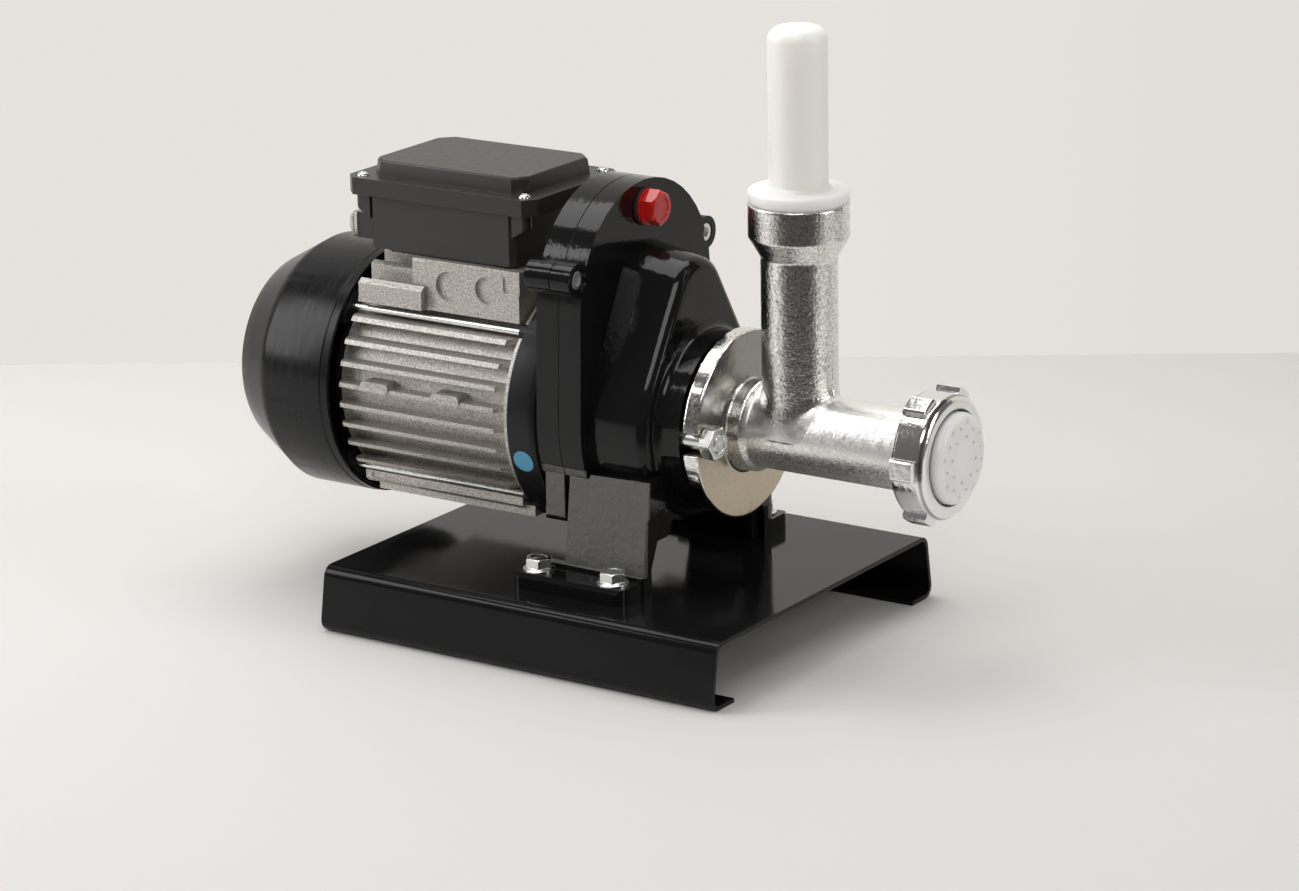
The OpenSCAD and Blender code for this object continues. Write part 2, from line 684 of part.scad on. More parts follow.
// Upright fins behind the pedestal, the outer ones on a shelf that clears the tie rods
module top_fins() intersection() {
    union() {
        for (i = [-4:4]) let (y = i * top_fin_pitch)
            translate([top_fin_x[0], y - fin_t / 2 - 0.3, abs(y) > 30 ? shelf_z : 20])
                cube([top_fin_x[1] - top_fin_x[0], fin_t + 0.6, 80]);
        slab(top_fin_x[0], top_fin_x[1]) translate([-top_fin_y, shelf_z]) square([2 * top_fin_y, shelf_t]);
    }
    rod(top_fin_r, x_rear, x_frame);
    translate([0, far / 2, 0]) rotate([90, 0, 0]) linear_extrude(far) polygon(concat([[top_fin_x[0], 0]],
        arc([top_fin_x[0] + 3, pedestal_z[1] - 4], 3, 180, 90, 3),
        arc([top_fin_x[1] - 3, pedestal_z[1] - 4], 3, 90, 0, 3), [[top_fin_x[1], 0]]));
}
top_fin_x = [x_rear + 8, x_rear + 50];
top_fin_pitch = 12;
top_fin_y = 50;
top_fin_r = 77.5;
shelf_t = 2.6;
shelf_z = rod_at + rod_r + 3;

pedestal_face = 0.8;    // depth of the step in the pedestal's sides
module pedestal() difference() {
    slab(pedestal_x[0], pedestal_x[1]) polygon([[-pedestal_y, pedestal_z[0]],
        [-pedestal_y, pedestal_z[1] - 1], [1 - pedestal_y, pedestal_z[1]],
        [pedestal_y - 1, pedestal_z[1]], [pedestal_y, pedestal_z[1] - 1], [pedestal_y, pedestal_z[0]],
        [20, pedestal_z[0]], [20, 40], [-20, 40], [-20, pedestal_z[0]]]);
    // Knock-outs for cable entries
    both_sides() for (k = knockouts)
        translate([k[0], 0, k[1]]) rotate([90, 0, 0]) translate([0, 0, pedestal_y - 2])
            cylinder(r = k[2], h = 5);
    // Shallow step along the top and the front corner
    both_sides() translate([0, pedestal_face - pedestal_y, pedestal_z[1]]) rotate([90, 0, 0])
        linear_extrude(5) polygon(concat([[pedestal_x[0] + 3, 1], [pedestal_x[0] + 3, -0.3]],
            arc([pedestal_x[1] - 12, -5], 2, 90, 0, 3), arc([pedestal_x[1] - 8, -9.9], 2, 180, 270, 3),
            [[x_frame, -12.3], [x_frame, 1]]));
    // Hollow that leads the windings' leads up to the box
    translate([box_x - lead_hole[0] / 2, -lead_hole[1] / 2, 0]) cube([lead_hole[0], lead_hole[1], far]);
}

module keel() {
    difference() {
        keel_block();
        both_sides()
            translate([(keel_x[0] + keel_x[1]) / 2 - 3, 0.7 - pedestal_y, (keel_z - rod_at) / 2 - 0.4])
                rotate([90, 0, 0]) linear_extrude(5) polygon(plate(keel_x[1] - keel_x[0] - 14, 3.4, 1.2));
    }
    slab(keel_x[0] + 7, x_frame) translate([-42, keel_in_z]) square([84, 6]);
}
module keel_block() slab(keel_x[0], keel_x[1]) polygon([[-pedestal_y, -rod_at - rod_r - 0.6],
    [-pedestal_y, keel_z + 2], [2 - pedestal_y, keel_z], [pedestal_y - 2, keel_z],
    [pedestal_y, keel_z + 2], [pedestal_y, -rod_at - rod_r - 0.6], [30, -rod_at], [-30, -rod_at]]);

function slot_wedge(r0, r1, w) = [[r0, -w / 2], [r1, -w * 0.8], [r1, w * 0.8], [r0, w / 2]];
module slot_shapes(r0, r1, w) for (i = [0:slots - 1]) rotate(i * 360 / slots) polygon(slot_wedge(r0, r1, w));

module stator_core() {
    color([0.35, 0.36, 0.38]) machine() slab(x_stack, x_stack + stack_l) difference() {
        circle(stator_r);
        circle(bore_r);
        slot_shapes(bore_r + 1.6, bore_r + 12, 3.4);
    }
}

module stator_windings() {
    color([0.6, 0.3, 0.12]) machine() {
        slab(x_stack - 1, x_stack + stack_l + 1) slot_shapes(bore_r + 2, bore_r + 11.6, 2.6);
        for (x = [x_stack - 13, x_stack + stack_l + 0.8]) translate([x, 0, 0]) turned([[0, bore_r + 4],
            [3, bore_r + 1.6], [12.2, bore_r + 1.6], [12.2, bore_r + 13], [3, bore_r + 13],
            [0, bore_r + 10]]);
    }
}

module motor_rear_shield() {
    color([0.62, 0.62, 0.6]) machine() difference() {
        union() {
            turned([[x_rear - 7, 0], [x_rear - 7, shell_r], [x_rear - 5, shell_r + 3], [x_rear, shell_r + 3],
                [x_rear, shell_r - fit], [x_rear + 4, shell_r - fit], [x_rear + 4, shell_r - 5],
                [x_rear, shell_r - 6], [x_rear, 0]]);
            rod(brg_motor[1] + 5, x_brg_motor_rear - brg_motor[2] - 1.5, x_brg_motor_rear);
            intersection() {
                at_rods() translate([0, -8, -8]) translate([x_rear - 7, 0, 0]) cube([7, 16, 16]);
                rod(cowl_r - cowl_t - 0.4, x_rear - 10, x_rear);
            }
        }
        rod(brg_motor[1] + fit, x_brg_motor_rear - brg_motor[2], x_rear + 10);
        rod(brg_motor[0] + 1, x_rear - 20, x_rear + 10);
        at_rods() rod(rod_r + 0.3, x_rear - 20, x_rear + 10);
    }
}

module tie_rods() {
    color([0.8, 0.81, 0.82]) machine() at_rods() {
        rod(rod_r, x_rear - 7, x_back - 11.5);
        hex_rod(rod_nut_af, x_rear - 11, x_rear - 7);
    }
}

module fan_cowl() {
    color([0.07, 0.07, 0.07]) machine() difference() {
        turned([[x_rear - 0.8, cowl_r - cowl_t], [x_rear - 0.8, cowl_r - 0.4], [x_rear - 5.6, cowl_r - 0.4],
            [x_rear - 6, cowl_r], [x_cone, cowl_r], [x_tail + 3, cowl_rear_r + 1.6],
            for (p = arc([x_tail + 3, cowl_rear_r - 2.4], 3, 100, 180, 5)) p,
            [x_tail, 0], [x_tail + cowl_t, 0], [x_tail + cowl_t, cowl_rear_r - 3],
            [x_cone, cowl_r - cowl_t]]);
        // Rings of slots that let the fan draw air
        for (ring = [[16, 10, 9], [27, 16, 9], [38, 22, 9]]) for (i = [0:ring[1] - 1])
            rotate([i * 360 / ring[1], 0, 0]) translate([x_tail - 2, ring[0], -1.7]) cube([6, ring[2], 3.4]);
    }
}

module motor_bearings() {
    color([0.7, 0.71, 0.73]) machine() {
        bearing(brg_motor, x_brg_motor_front - brg_motor[2]);
        bearing(brg_motor, x_brg_motor_rear - brg_motor[2]);
    }
}

// ---- Terminal box ----------------------------------------------------------------------

module box_frame() translate([box_x, 0, 0]) children();
module cut_corners(l, w, c) polygon([[c - l / 2, -w / 2], [l / 2 - c, -w / 2], [l / 2, c - w / 2],
    [l / 2, w / 2 - c], [l / 2 - c, w / 2], [c - l / 2, w / 2], [-l / 2, w / 2 - c], [-l / 2, c - w / 2]]);
module at_lid_screws() for (x = [-1, 1], y = [-1, 1])
    translate([x * lid_screw[0], y * lid_screw[1], 0]) children();

gasket_l = 2 * (pedestal_x[1] - box_x) - 40; // stays on the pedestal's flat top
lead_hole = [40, 36];  // opening that leads the windings' leads up to the box
module box_gasket() {
    color([0.12, 0.12, 0.12]) machine() box_frame() translate([0, 0, pedestal_z[1]]) difference() {
        translate([-gasket_l / 2, 6 - pedestal_y, 0]) cube([gasket_l, 2 * pedestal_y - 12, box_gasket_t]);
        translate([-lead_hole[0] / 2, -lead_hole[1] / 2, -1])
            cube([lead_hole[0], lead_hole[1], box_gasket_t + 2]);
    }
}

module at_switch() machine() translate(switch_at) children();
module switch_opening(x0, x1, over) translate([x0, -switch_l / 2 - over, -switch_h / 2 - over])
    cube([x1 - x0, switch_l + 2 * over, switch_h + 2 * over]);

// A lug at the box's corner for a lid screw, rounded at its end and cut away below
module box_lug() intersection() {
    translate([0, 0, box_top - box_lug_h]) linear_extrude(box_lug_h) union() {
        translate([box_l / 2 - 1, lid_screw[1] - box_lug_r])
            square([lid_screw[0] - box_l / 2 + 1, 2 * box_lug_r]);
        translate(lid_screw) circle(box_lug_r);
    }
    translate([0, far / 2, 0]) rotate([90, 0, 0]) linear_extrude(far) polygon([[0, box_top],
        [lid_screw[0] + box_lug_r, box_top], [lid_screw[0] + box_lug_r, box_top - box_lug_h + 6],
        [box_l / 2 - 1, box_top - box_lug_h], [0, box_top - box_lug_h]]);
}
box_lug_h = 12;

module terminal_box() {
    color([0.16, 0.16, 0.16]) difference() {
        union() {
            machine() box_frame() {
                translate([0, 0, box_z]) linear_extrude(box_h) cut_corners(box_l, box_w, 3);
                for (a = [0, 1], b = [0, 1]) mirror([a, 0, 0]) mirror([0, b, 0]) box_lug();
            }
            at_switch() switch_opening(0, switch_seat + 1, bezel);
        }
        machine() box_frame() {
            translate([0, 0, box_z + 3]) linear_extrude(box_h)
                cut_corners(box_l - 2 * box_t, box_w - 2 * box_t, 2);
            translate([1 - lead_hole[0] / 2, 1 - lead_hole[1] / 2, box_z - 1])
                cube([lead_hole[0] - 2, lead_hole[1] - 2, 10]);
            at_lid_screws() translate([0, 0, box_top - 7.5]) cylinder(r = lid_screw_r + fit, h = 11);
            translate([gland_x - box_x, 0, gland_z]) rotate([-90, 0, 0]) cylinder(r = 8.1, h = far);
        }
        at_switch() switch_opening(-1, switch_seat + box_t + 1, 0);
    }
}

module lid_gasket() {
    color([0.1, 0.1, 0.1]) machine() box_frame() translate([0, 0, box_top]) linear_extrude(0.8) difference() {
        cut_corners(box_l, box_w, 3);
        cut_corners(box_l - 2 * box_t, box_w - 2 * box_t, 2);
    }
}

raise_l = box_l + 6;
raise_w = box_w - 10;
module terminal_lid() {
    color([0.17, 0.17, 0.17]) machine() box_frame() difference() {
        union() {
            translate([0, 0, lid_z]) linear_extrude(lid_flange_h) cut_corners(lid_l, lid_w, lid_cut);
            hull() {
                for (e = [[0, 0], [lid_raise - 1.2, 0.8], [lid_raise, 1.8]])
                    translate([0, 0, lid_top + e[0] - bite]) linear_extrude(bite)
                        cut_corners(raise_l - 2 * e[1], raise_w - 2 * e[1], raise_cut);
            }
        }
        translate([0, 0, lid_z - 1]) linear_extrude(lid_flange_h - lid_t + 1)
            cut_corners(box_l - 2 * box_t, box_w - 2 * box_t, 2);
        translate([0, 0, lid_z]) linear_extrude(lid_flange_h + lid_raise - lid_t)
            cut_corners(box_l - 8, raise_w - 8, raise_cut);
        at_lid_screws() cylinder(r = lid_screw_r + 0.3, h = far);
        at_lid_screws() translate([0, 0, lid_top - 1]) cylinder(r = lid_head_r + 0.4, h = 5);
    }
}

lid_screw_r = 1.9;
lid_head_r = 3.3;
module lid_screws() {
    color([0.8, 0.81, 0.83]) machine() box_frame() at_lid_screws() difference() {
        union() {
            translate([0, 0, box_top - 7]) cylinder(r = lid_screw_r, h = lid_top - box_top + 7);
            translate([0, 0, lid_top - 1]) rotate_extrude() polygon([[0, 0], [lid_head_r, 0], [lid_head_r, 1],
                [lid_head_r - 0.7, 2.2], [lid_head_r / 2, 2.8], [0, 2.9]]);
        }
        for (a = [0, 90]) rotate(a) translate([-1.8, -0.4, lid_top + 0.9]) cube([3.6, 0.8, 3]);
    }
}

capacitor_r = 11;
capacitor_l = 58;
module run_capacitor() {
    color([0.85, 0.85, 0.83]) machine() box_frame()
        translate([-capacitor_l / 2 + 1, 18 - box_w / 2, box_z + 3 + capacitor_r + 0.1]) {
            rotate([0, 90, 0]) cylinder(r = capacitor_r, h = capacitor_l);
            translate([capacitor_l - bite, 0, 0]) rotate([0, 90, 0]) cylinder(r = capacitor_r - 1.5, h = 3);
            for (y = [-4, 4]) translate([capacitor_l + 2, y - 3, -0.4]) cube([8, 6, 0.8]);
        }
}

module terminal_block() {
    color([0.2, 0.2, 0.22]) machine() box_frame()
        translate([box_l / 2 - 38, box_w / 2 - 32, box_z + 3 + 0.02]) difference() {
            cube([30, 24, 12]);
            for (i = [0:2], y = [1, 15]) translate([2 + i * 9.4, y, 5]) cube([7.4, 8, 8]);
        }
}

module switch_body() {
    color([0.1, 0.1, 0.1]) at_switch() difference() {
        union() {
            switch_opening(0, switch_seat + 12, -0.15);
            switch_opening(-bezel_t, 0, bezel);
        }
        switch_opening(-bezel_t - 1, 7, -1.5);
        cylinder(r = rocker_pin_r + fit, h = switch_h - 2 * 0.7, center = true);
    }
}
rocker_pin_r = 1.2;

// The rocker's face is hollow, and it turns on a pin in the switch's own walls
module switch_rocker() {
    sweep_r = (rocker_y * rocker_y + rocker_dip * rocker_dip) / 2 / rocker_dip;
    half = asin(rocker_y / sweep_r);
    color([0.75, 0.1, 0.08]) at_switch() rotate([0, 0, rocker_tilt]) {
        linear_extrude(switch_h - 3.6, center = true) polygon(concat(
            arc([-3 - sweep_r, 0], sweep_r, -half, half, 10), [[1.8, 5], [3.4, 3], [3.4, -3], [1.8, -5]]));
        cylinder(r = rocker_pin_r, h = switch_h - 2 * 0.8, center = true);
    }
}

// Clear splash cover over the switch, seated on its bezel
module switch_boot() {
    color([0.9, 0.9, 0.88, 0.5]) at_switch() translate([-bezel_t, 0, 0]) difference() {
        boot_shape(0);
        translate([0.8, 0, 0]) boot_shape(0.8);
    }
}
module boot_shape(inset) hull() {
    translate([-3, 0, 0]) rotate([0, 90, 0]) linear_extrude(3)
        polygon(plate(switch_h + 2 * bezel - 2 * inset, switch_l + 2 * bezel - 2 * inset, 2));
    translate([-6, 0, 0]) rotate([0, 90, 0]) linear_extrude(1)
        polygon(plate(switch_h - 1 - 2 * inset, switch_l - 1 - 2 * inset, 3));
}

module at_gland() machine() translate([gland_x, box_w / 2, gland_z]) rotate([0, 0, 90]) children();

module gland_body() {
    color([0.1, 0.1, 0.1]) at_gland() difference() {
        union() {
            rod(8, -box_t - 6, 12);
            hex_rod(20, 0, 5);
        }
        rod(5.5, -far / 2, far / 2);
        tube(far, 6.9, 5, 14);
    }
}

module gland_nut() {
    color([0.1, 0.1, 0.1]) at_gland() difference() {
        union() {
            hex_rod(20, 5.2, 11);
            turned([[11 - bite, 0], [11 - bite, 9], [17, 7.4], [17, 0]]);
        }
        rod(6.9 + fit, 5, 12.6);
        rod(gland_bore_r + 0.6, 5, 20);
    }
}

module gland_seal() {
    color([0.25, 0.25, 0.25]) at_gland() tube(5.4, gland_bore_r, 2, 12.4);
}

// ---- Shafts, gears and bearings --------------------------------------------------------

// Involute of a base circle, as a point at the given radius
function flank_angle(rb, r) = let (a = sqrt(max(0, pow(r / rb, 2) - 1)) * 180 / PI) a - atan(a * PI / 180);
function tooth(m, z, a0) = let (rp = m * z / 2, rb = rp * cos(pressure_angle), rr = rp - dedendum * m,
    ra = rp + addendum * m, half = 90 / z * (1 - backlash) + flank_angle(rb, rp), r0 = max(rb, rr), n = 3,
    foot = r0 > rr ? [[rr, half * 0.8]] : [],
    up = concat(foot, [for (i = [0:n]) let (r = r0 + (ra - r0) * i / n) [r, half - flank_angle(rb, r)]]))
    concat([for (p = up) p[0] * [cos(a0 - p[1]), sin(a0 - p[1])]],
        [for (i = [len(up) - 1:-1:0]) up[i][0] * [cos(a0 + up[i][1]), sin(a0 + up[i][1])]]);
function gear_outline(m, z, phase) = [for (i = [0:z - 1]) for (p = tooth(m, z, phase + i * 360 / z)) p];

// The keyway of a shaft, cut down from its surface, and that of a hub, cut up from its bore
module shaft_keyway(r, x0, x1) translate([x0, -key_w / 2, r - key_h]) cube([x1 - x0, key_w, far]);
module hub_keyway(r, x0, x1) translate([x0, -key_w / 2, 0]) cube([x1 - x0, key_w, r + key_h]);
module key(r, x0, x1) translate([x0, fit - key_w / 2, r + fit - key_h])
    cube([x1 - x0, key_w - 2 * fit, 2 * key_h - 2 * fit]);

module motor_shaft() {
    color([0.72, 0.73, 0.75]) machine() union() {
        turned([[x_cone + 4, 0], [x_cone + 4, 6], [x_cone + 5, fan_seat_r], [x_rear - 14, fan_seat_r],
            [x_rear - 14, 7.5], [x_rear + 3, 7.5], [x_rear + 3, 9.5], [x_frame - 6, 9.5], [x_frame - 6, 7.5],
            [x_seal_motor + seal_t + 2.5, 7.5], [x_seal_motor + seal_t + 3.5, 6.5],
            [x_pinion_1_end, 6.5], [x_pinion_1_end, 0]]);
        slab(x_gear_1 - 1.5, x_pinion_1_end) polygon(gear_outline(module_1, teeth_1, 90));
    }
}

module rotor_core() {
    color([0.5, 0.5, 0.52]) machine() difference() {
        union() {
            rod(rotor_r, x_stack, x_stack + stack_l);
            for (x = [x_stack - 5, x_stack + stack_l]) translate([x, 0, 0]) tube(rotor_r - 1.5, 20, 0, 5);
        }
        rod(9.5 + fit, x_stack - 10, x_frame);
    }
}

fan_blades = 9;
fan_seat_r = 7;
fan_hub_r = 13;
fan_r = 58;
x_fan_disc = x_rear - 19;
module cooling_fan() {
    color([0.12, 0.12, 0.13]) machine() difference() {
        union() {
            tube(fan_hub_r, fan_seat_r + fit, x_cone + 7, x_fan_disc + 3);
            tube(fan_r, fan_hub_r - 1, x_fan_disc, x_fan_disc + 2.5);
            for (i = [0:fan_blades - 1]) rotate([i * 360 / fan_blades, 0, 0])
                translate([x_cone + 12, fan_hub_r - 0.5, -1.1])
                    cube([x_fan_disc + 1 - x_cone - 12, fan_r - fan_hub_r - 1, 2.2]);
        }
        rod(fan_seat_r + fit, x_tail, x_rear);
    }
}

module fan_clip() {
    color([0.45, 0.45, 0.47]) machine() difference() {
        tube(10, fan_seat_r + fit, x_cone + 5.5, x_cone + 6.7);
        translate([x_cone + 4, -2, 0]) cube([5, 4, 20]);
    }
}

module countershaft() {
    color([0.7, 0.71, 0.73]) machine() on_countershaft() difference() {
        union() {
            turned([[x_brg_counter_rear + 0.3, 0], [x_brg_counter_rear + 0.3, 6],
                [x_brg_counter_rear + brg_counter[2], 6],
                [x_brg_counter_rear + brg_counter[2], shaft_seat_r], [x_gear_1 + gear_1_face, shaft_seat_r],
                [x_gear_1 + gear_1_face, 9], [x_gear_2 - 1, 9], [x_gear_2 + gear_2_face + 1.5, 8.5],
                [x_brg_counter_front, 8.5], [x_brg_counter_front, 6],
                [x_brg_counter_front + brg_counter[2] - 0.3, 6],
                [x_brg_counter_front + brg_counter[2] - 0.3, 0]]);
            slab(x_gear_2 - 1, x_gear_2 + gear_2_face + 1) polygon(gear_outline(module_2, teeth_3, -90));
        }
        shaft_keyway(shaft_seat_r, x_gear_1, x_gear_1 + gear_1_face);
    }
}

module first_gear() {
    color([0.66, 0.6, 0.42]) machine() on_countershaft() difference() {
        union() {
            slab(x_gear_1, x_gear_1 + gear_1_face) difference() {
                polygon(gear_outline(module_1, teeth_2, 180 / teeth_2 - 90));
                circle(tip_1 - 7);
            }
            tube(tip_1 - 6.5, shaft_seat_r, x_gear_1 + 3, x_gear_1 + gear_1_face - 3);
            tube(16, shaft_seat_r, x_gear_1, x_gear_1 + gear_1_face);
        }
        rod(shaft_seat_r + fit, x_back, x_cover);
        for (a = [0:60:300]) rotate([a, 0, 0]) translate([0, 0, 31]) rod(8.5, x_back, x_cover);
        hub_keyway(shaft_seat_r, x_back, x_cover);
    }
}

module first_gear_key() {
    color([0.6, 0.6, 0.62]) machine() on_countershaft() key(shaft_seat_r, x_gear_1, x_gear_1 + gear_1_face);
}

module countershaft_bearings() {
    color([0.7, 0.71, 0.73]) machine() on_countershaft() {
        bearing(brg_counter, x_brg_counter_rear);
        bearing(brg_counter, x_brg_counter_front);
    }
}

module output_shaft() {
    color([0.72, 0.73, 0.75]) machine() difference() {
        turned([[x_gear_2 - 2.5, 0], [x_gear_2 - 2.5, out_seat_r - 1], [x_gear_2 - 1.5, out_seat_r],
            [x_gear_2 + gear_2_face, out_seat_r], [x_gear_2 + gear_2_face, 16],
            [x_out_meet - brg_out_rear[2], 16], [x_out_meet - brg_out_rear[2], 12.5],
            [x_out_front, 12.5], [x_out_front, 0]]);
        hex_rod(hex_af, x_out_front - hex_l - 1, 0);
        shaft_keyway(out_seat_r, x_gear_2, x_gear_2 + gear_2_face);
    }
}

module output_gear() {
    color([0.55, 0.56, 0.58]) machine() difference() {
        union() {
            slab(x_gear_2, x_gear_2 + gear_2_face) difference() {
                polygon(gear_outline(module_2, teeth_4, 90 + 180 / teeth_4));
                circle(tip_2 - 10);
            }
            tube(tip_2 - 9.5, out_seat_r, x_gear_2 + 3.5, x_gear_2 + gear_2_face - 3.5);
            tube(22, out_seat_r, x_gear_2, x_gear_2 + gear_2_face);
        }
        rod(out_seat_r + fit, x_cover - 10, x_boss);
        hub_keyway(out_seat_r, x_gear_2 - 1, x_boss);
    }
}

module output_gear_key() {
    color([0.6, 0.6, 0.62]) machine() key(out_seat_r, x_gear_2, x_gear_2 + gear_2_face);
}

module output_bearings() {
    color([0.7, 0.71, 0.73]) machine() {
        bearing(brg_out_rear, x_out_meet - brg_out_rear[2]);
        bearing(brg_out_front, x_out_meet);
    }
}

module shaft_seals() {
    color([0.1, 0.1, 0.1]) machine() {
        translate([x_seal_motor, 0, 0]) seal(brg_motor[0], seal_motor_r);
        translate([x_seal_out, 0, 0]) seal(brg_out_front[0], brg_out_front[1]);
    }
}
module seal(r_in, r_out) turned([[0, r_out], [seal_t, r_out], [seal_t, r_in + 2.4],
    [seal_t - 1.2, r_in + fit], [1.2, r_in + fit], [0, r_in + 1.6]]);

// ---- Barrel, die and pusher ------------------------------------------------------------

module extruder_barrel() {
    color([0.86, 0.86, 0.85]) machine() difference() {
        union() {
            turned([[x_neck - spigot_l + fit, 0], [x_neck - spigot_l + fit, spigot_r], [-flange_t, spigot_r],
                [-flange_t, flange_r], [-0.6, flange_r], [0, flange_r - 0.6], [0, root_r + 1.5],
                [1.5, root_r], [root_l, root_r], [root_l + root_r - barrel_r, barrel_r],
                [cup_x - 6, barrel_r], [cup_x - 1, cup_r - 3], [cup_x, cup_r],
                [cup_x + cup_l - 1, cup_r], [cup_x + cup_l, cup_r - 1], [cup_x + cup_l, 0]]);
            translate([feed_x, 0, 0]) rotate_extrude() polygon([[0, 0], [feed_r, 0],
                [feed_r, feed_top - collar_h - collar_cone_h], [collar_r, feed_top - collar_h],
                [collar_r, feed_top - 1], [collar_r - 1, feed_top], [0, feed_top]]);
        }
        rod(brg_out_front[0] + 0.7, -far, far);
        rod(auger_bore_r, -washer_t - 2, far);
        rod(cup_in_r, die_seat, far);
        translate([feed_x, 0, 0]) cylinder(r = throat_r, h = far);
        translate([feed_x, 0, feed_top - collar_h + 4]) cylinder(r = collar_r - 4, h = far);
        both_sides() translate([-far / 2, -stud_y, -notch_w / 2]) mirror([0, 1, 0]) cube([far, far, notch_w]);
        both_sides() translate([0, -stud_y, 0]) rod(notch_w / 2, -far / 2, far / 2);
    }
}
washer_t = 2;

module thrust_washer() {
    color([0.7, 0.5, 0.25]) machine() tube(auger_bore_r - 0.1, hex_r(hex_af) + 1.5, -2 - washer_t, -2);
}

module barrel_studs() {
    color([0.78, 0.77, 0.72]) machine() both_sides() translate([0, -stud_y, 0])
        turned([[x_neck - stud_in + 0.5, 0], [x_neck - stud_in + 0.5, stud_r], [nut_h - 0.6, stud_r],
            [nut_h + 0.2, stud_r - 0.8], [nut_h + 0.2, 1.6], [nut_h - 0.8, 0]]);
}

module stud_nuts() {
    color([0.8, 0.8, 0.8]) machine() both_sides() translate([0, -stud_y, 0]) rotate([90, 0, 0])
        intersection() {
            difference() {
                hex_rod(nut_af, 0, nut_h);
                rod(stud_r + fit, -1, nut_h + 1);
                turned([[nut_h - 0.6, 0], [nut_h - 0.6, stud_r], [nut_h + 1, stud_r + 1.6], [nut_h + 1, 0]]);
            }
            turned([[0, 0], [0, nut_af / 2 - 0.4], [0.9, hex_r(nut_af) + 0.1],
                [nut_h - 0.9, hex_r(nut_af) + 0.1], [nut_h, nut_af / 2 - 0.4], [nut_h, 0]]);
        }
}

die_rings = [[12, 8, 34], [17, 8, 10], [19.3, 8, 32.5]];
module die() {
    color([0.93, 0.93, 0.91]) machine() difference() {
        turned([[die_seat + 0.05, 0], [die_seat + 0.05, cup_in_r - 0.15],
            [die_seat + die_flange_t, cup_in_r - 0.15], [die_seat + die_flange_t, die_r],
            for (p = arc([x_nose - 0.5 - die_round, die_r - die_round], die_round, 90, 0, 6)) p,
            [x_nose - 0.15, die_r / 2], [x_nose, die_r / 6], [x_nose, 0]]);
        turned([[die_seat - 1, 0], [die_seat - 1, auger_bore_r - 0.5], [x_ring - 4, auger_bore_r - 2.5],
            [x_ring - 2, auger_bore_r - 6], [x_ring - 2, 0]]);
        for (ring = die_rings) for (i = [0:ring[1] - 1]) rotate([ring[2] + i * 360 / ring[1], 0, 0])
            translate([0, ring[0], 0]) rod(die_hole_r, die_seat - 1, far);
    }
}

module ring_nut() {
    color([0.88, 0.88, 0.87]) machine() difference() {
        union() {
            turned([[barrel_l, 0], [barrel_l, ring_r - 1], [barrel_l + 0.6, ring_r - 0.5],
                [barrel_l + 1.6, ring_r - 0.5], [barrel_l + 1.9, ring_r],
                for (p = arc([x_ring, ring_r] - [1, 1] * ring_round, ring_round, 90, 0, 6)) p, [x_ring, 0]]);
            for (i = [0:ring_lugs - 1]) rotate([90 + i * 360 / ring_lugs, 0, 0]) ring_lug();
        }
        rod(cup_r + 0.05, barrel_l + 1.2, cup_x + cup_l + 0.3);
        rod(cup_r + 0.05, barrel_l - 1, barrel_l + 2);
        rod(die_r + 0.7, die_seat, x_ring + 1);
        rod(cup_in_r, die_seat, die_seat + die_flange_t + 0.1);
    }
}

// A grip lug, a block with bevelled edges all round
module ring_lug() intersection() {
    translate([barrel_l + 0.9, 0, 0]) rotate([0, 90, 0]) linear_extrude(ring_l - ring_round)
        polygon([[ring_r - 2, -ring_lug_w / 2], [ring_r + ring_lug_h - 1, -ring_lug_w / 2],
            [ring_r + ring_lug_h, 1 - ring_lug_w / 2], [ring_r + ring_lug_h, ring_lug_w / 2 - 1],
            [ring_r + ring_lug_h - 1, ring_lug_w / 2], [ring_r - 2, ring_lug_w / 2]]);
    turned([[barrel_l, 0], [barrel_l + 0.9, ring_r + ring_lug_h - 1],
        [barrel_l + 1.9, ring_r + ring_lug_h + 0.2],
        [x_ring - ring_round - 0.3, ring_r + ring_lug_h + 0.2],
        [x_ring - ring_round + 0.7, ring_r + ring_lug_h - 1.4], [x_ring - ring_round + 0.7, 0]]);
}

module pusher() {
    color([0.93, 0.93, 0.92]) machine() translate([feed_x, 0, feed_top]) rotate_extrude() polygon(concat(
        [[0, -plunge], [throat_r - slip - 2, -plunge], [throat_r - slip, 2 - plunge], [throat_r - slip, 0.05],
        [collar_r - 0.6, 0.05], [collar_r, 0.6], [collar_r, stop_h - 2]],
        arc([collar_r - 2, stop_h - 2], 2, 0, 90, 4), [[handle_r + 2, stop_h], [handle_r, stop_h + 2]],
        arc([handle_r - 7, handle_top - 7], 7, 0, 90, 6), [[0, handle_top]]));
}

module auger() {
    flight_x = 2;
    color([0.75, 0.75, 0.74]) machine() union() {
        hex_rod(hex_af - 0.2, x_out_front - hex_l, -1.9);
        turned([[-1.95, 0], [-1.95, flight_r], [flight_x, flight_r], [flight_x + 2, core_r + 1.5],
            [flight_x + 6, core_r], [flight_l - 6, core_r], [flight_l + 2, 3], [flight_l + 2, 0]]);
        translate([flight_x - 0.5, 0, 0]) rotate([0, 90, 0])
            linear_extrude(flight_l - flight_x, twist = -360 * flight_turns, slices = 24 * flight_turns,
                segments = 8, convexity = 4) polygon(concat(arc([0, 0], flight_r, -14, 14, 2),
                    arc([0, 0], core_r - 1, 26, -26, 2)));
    }
}

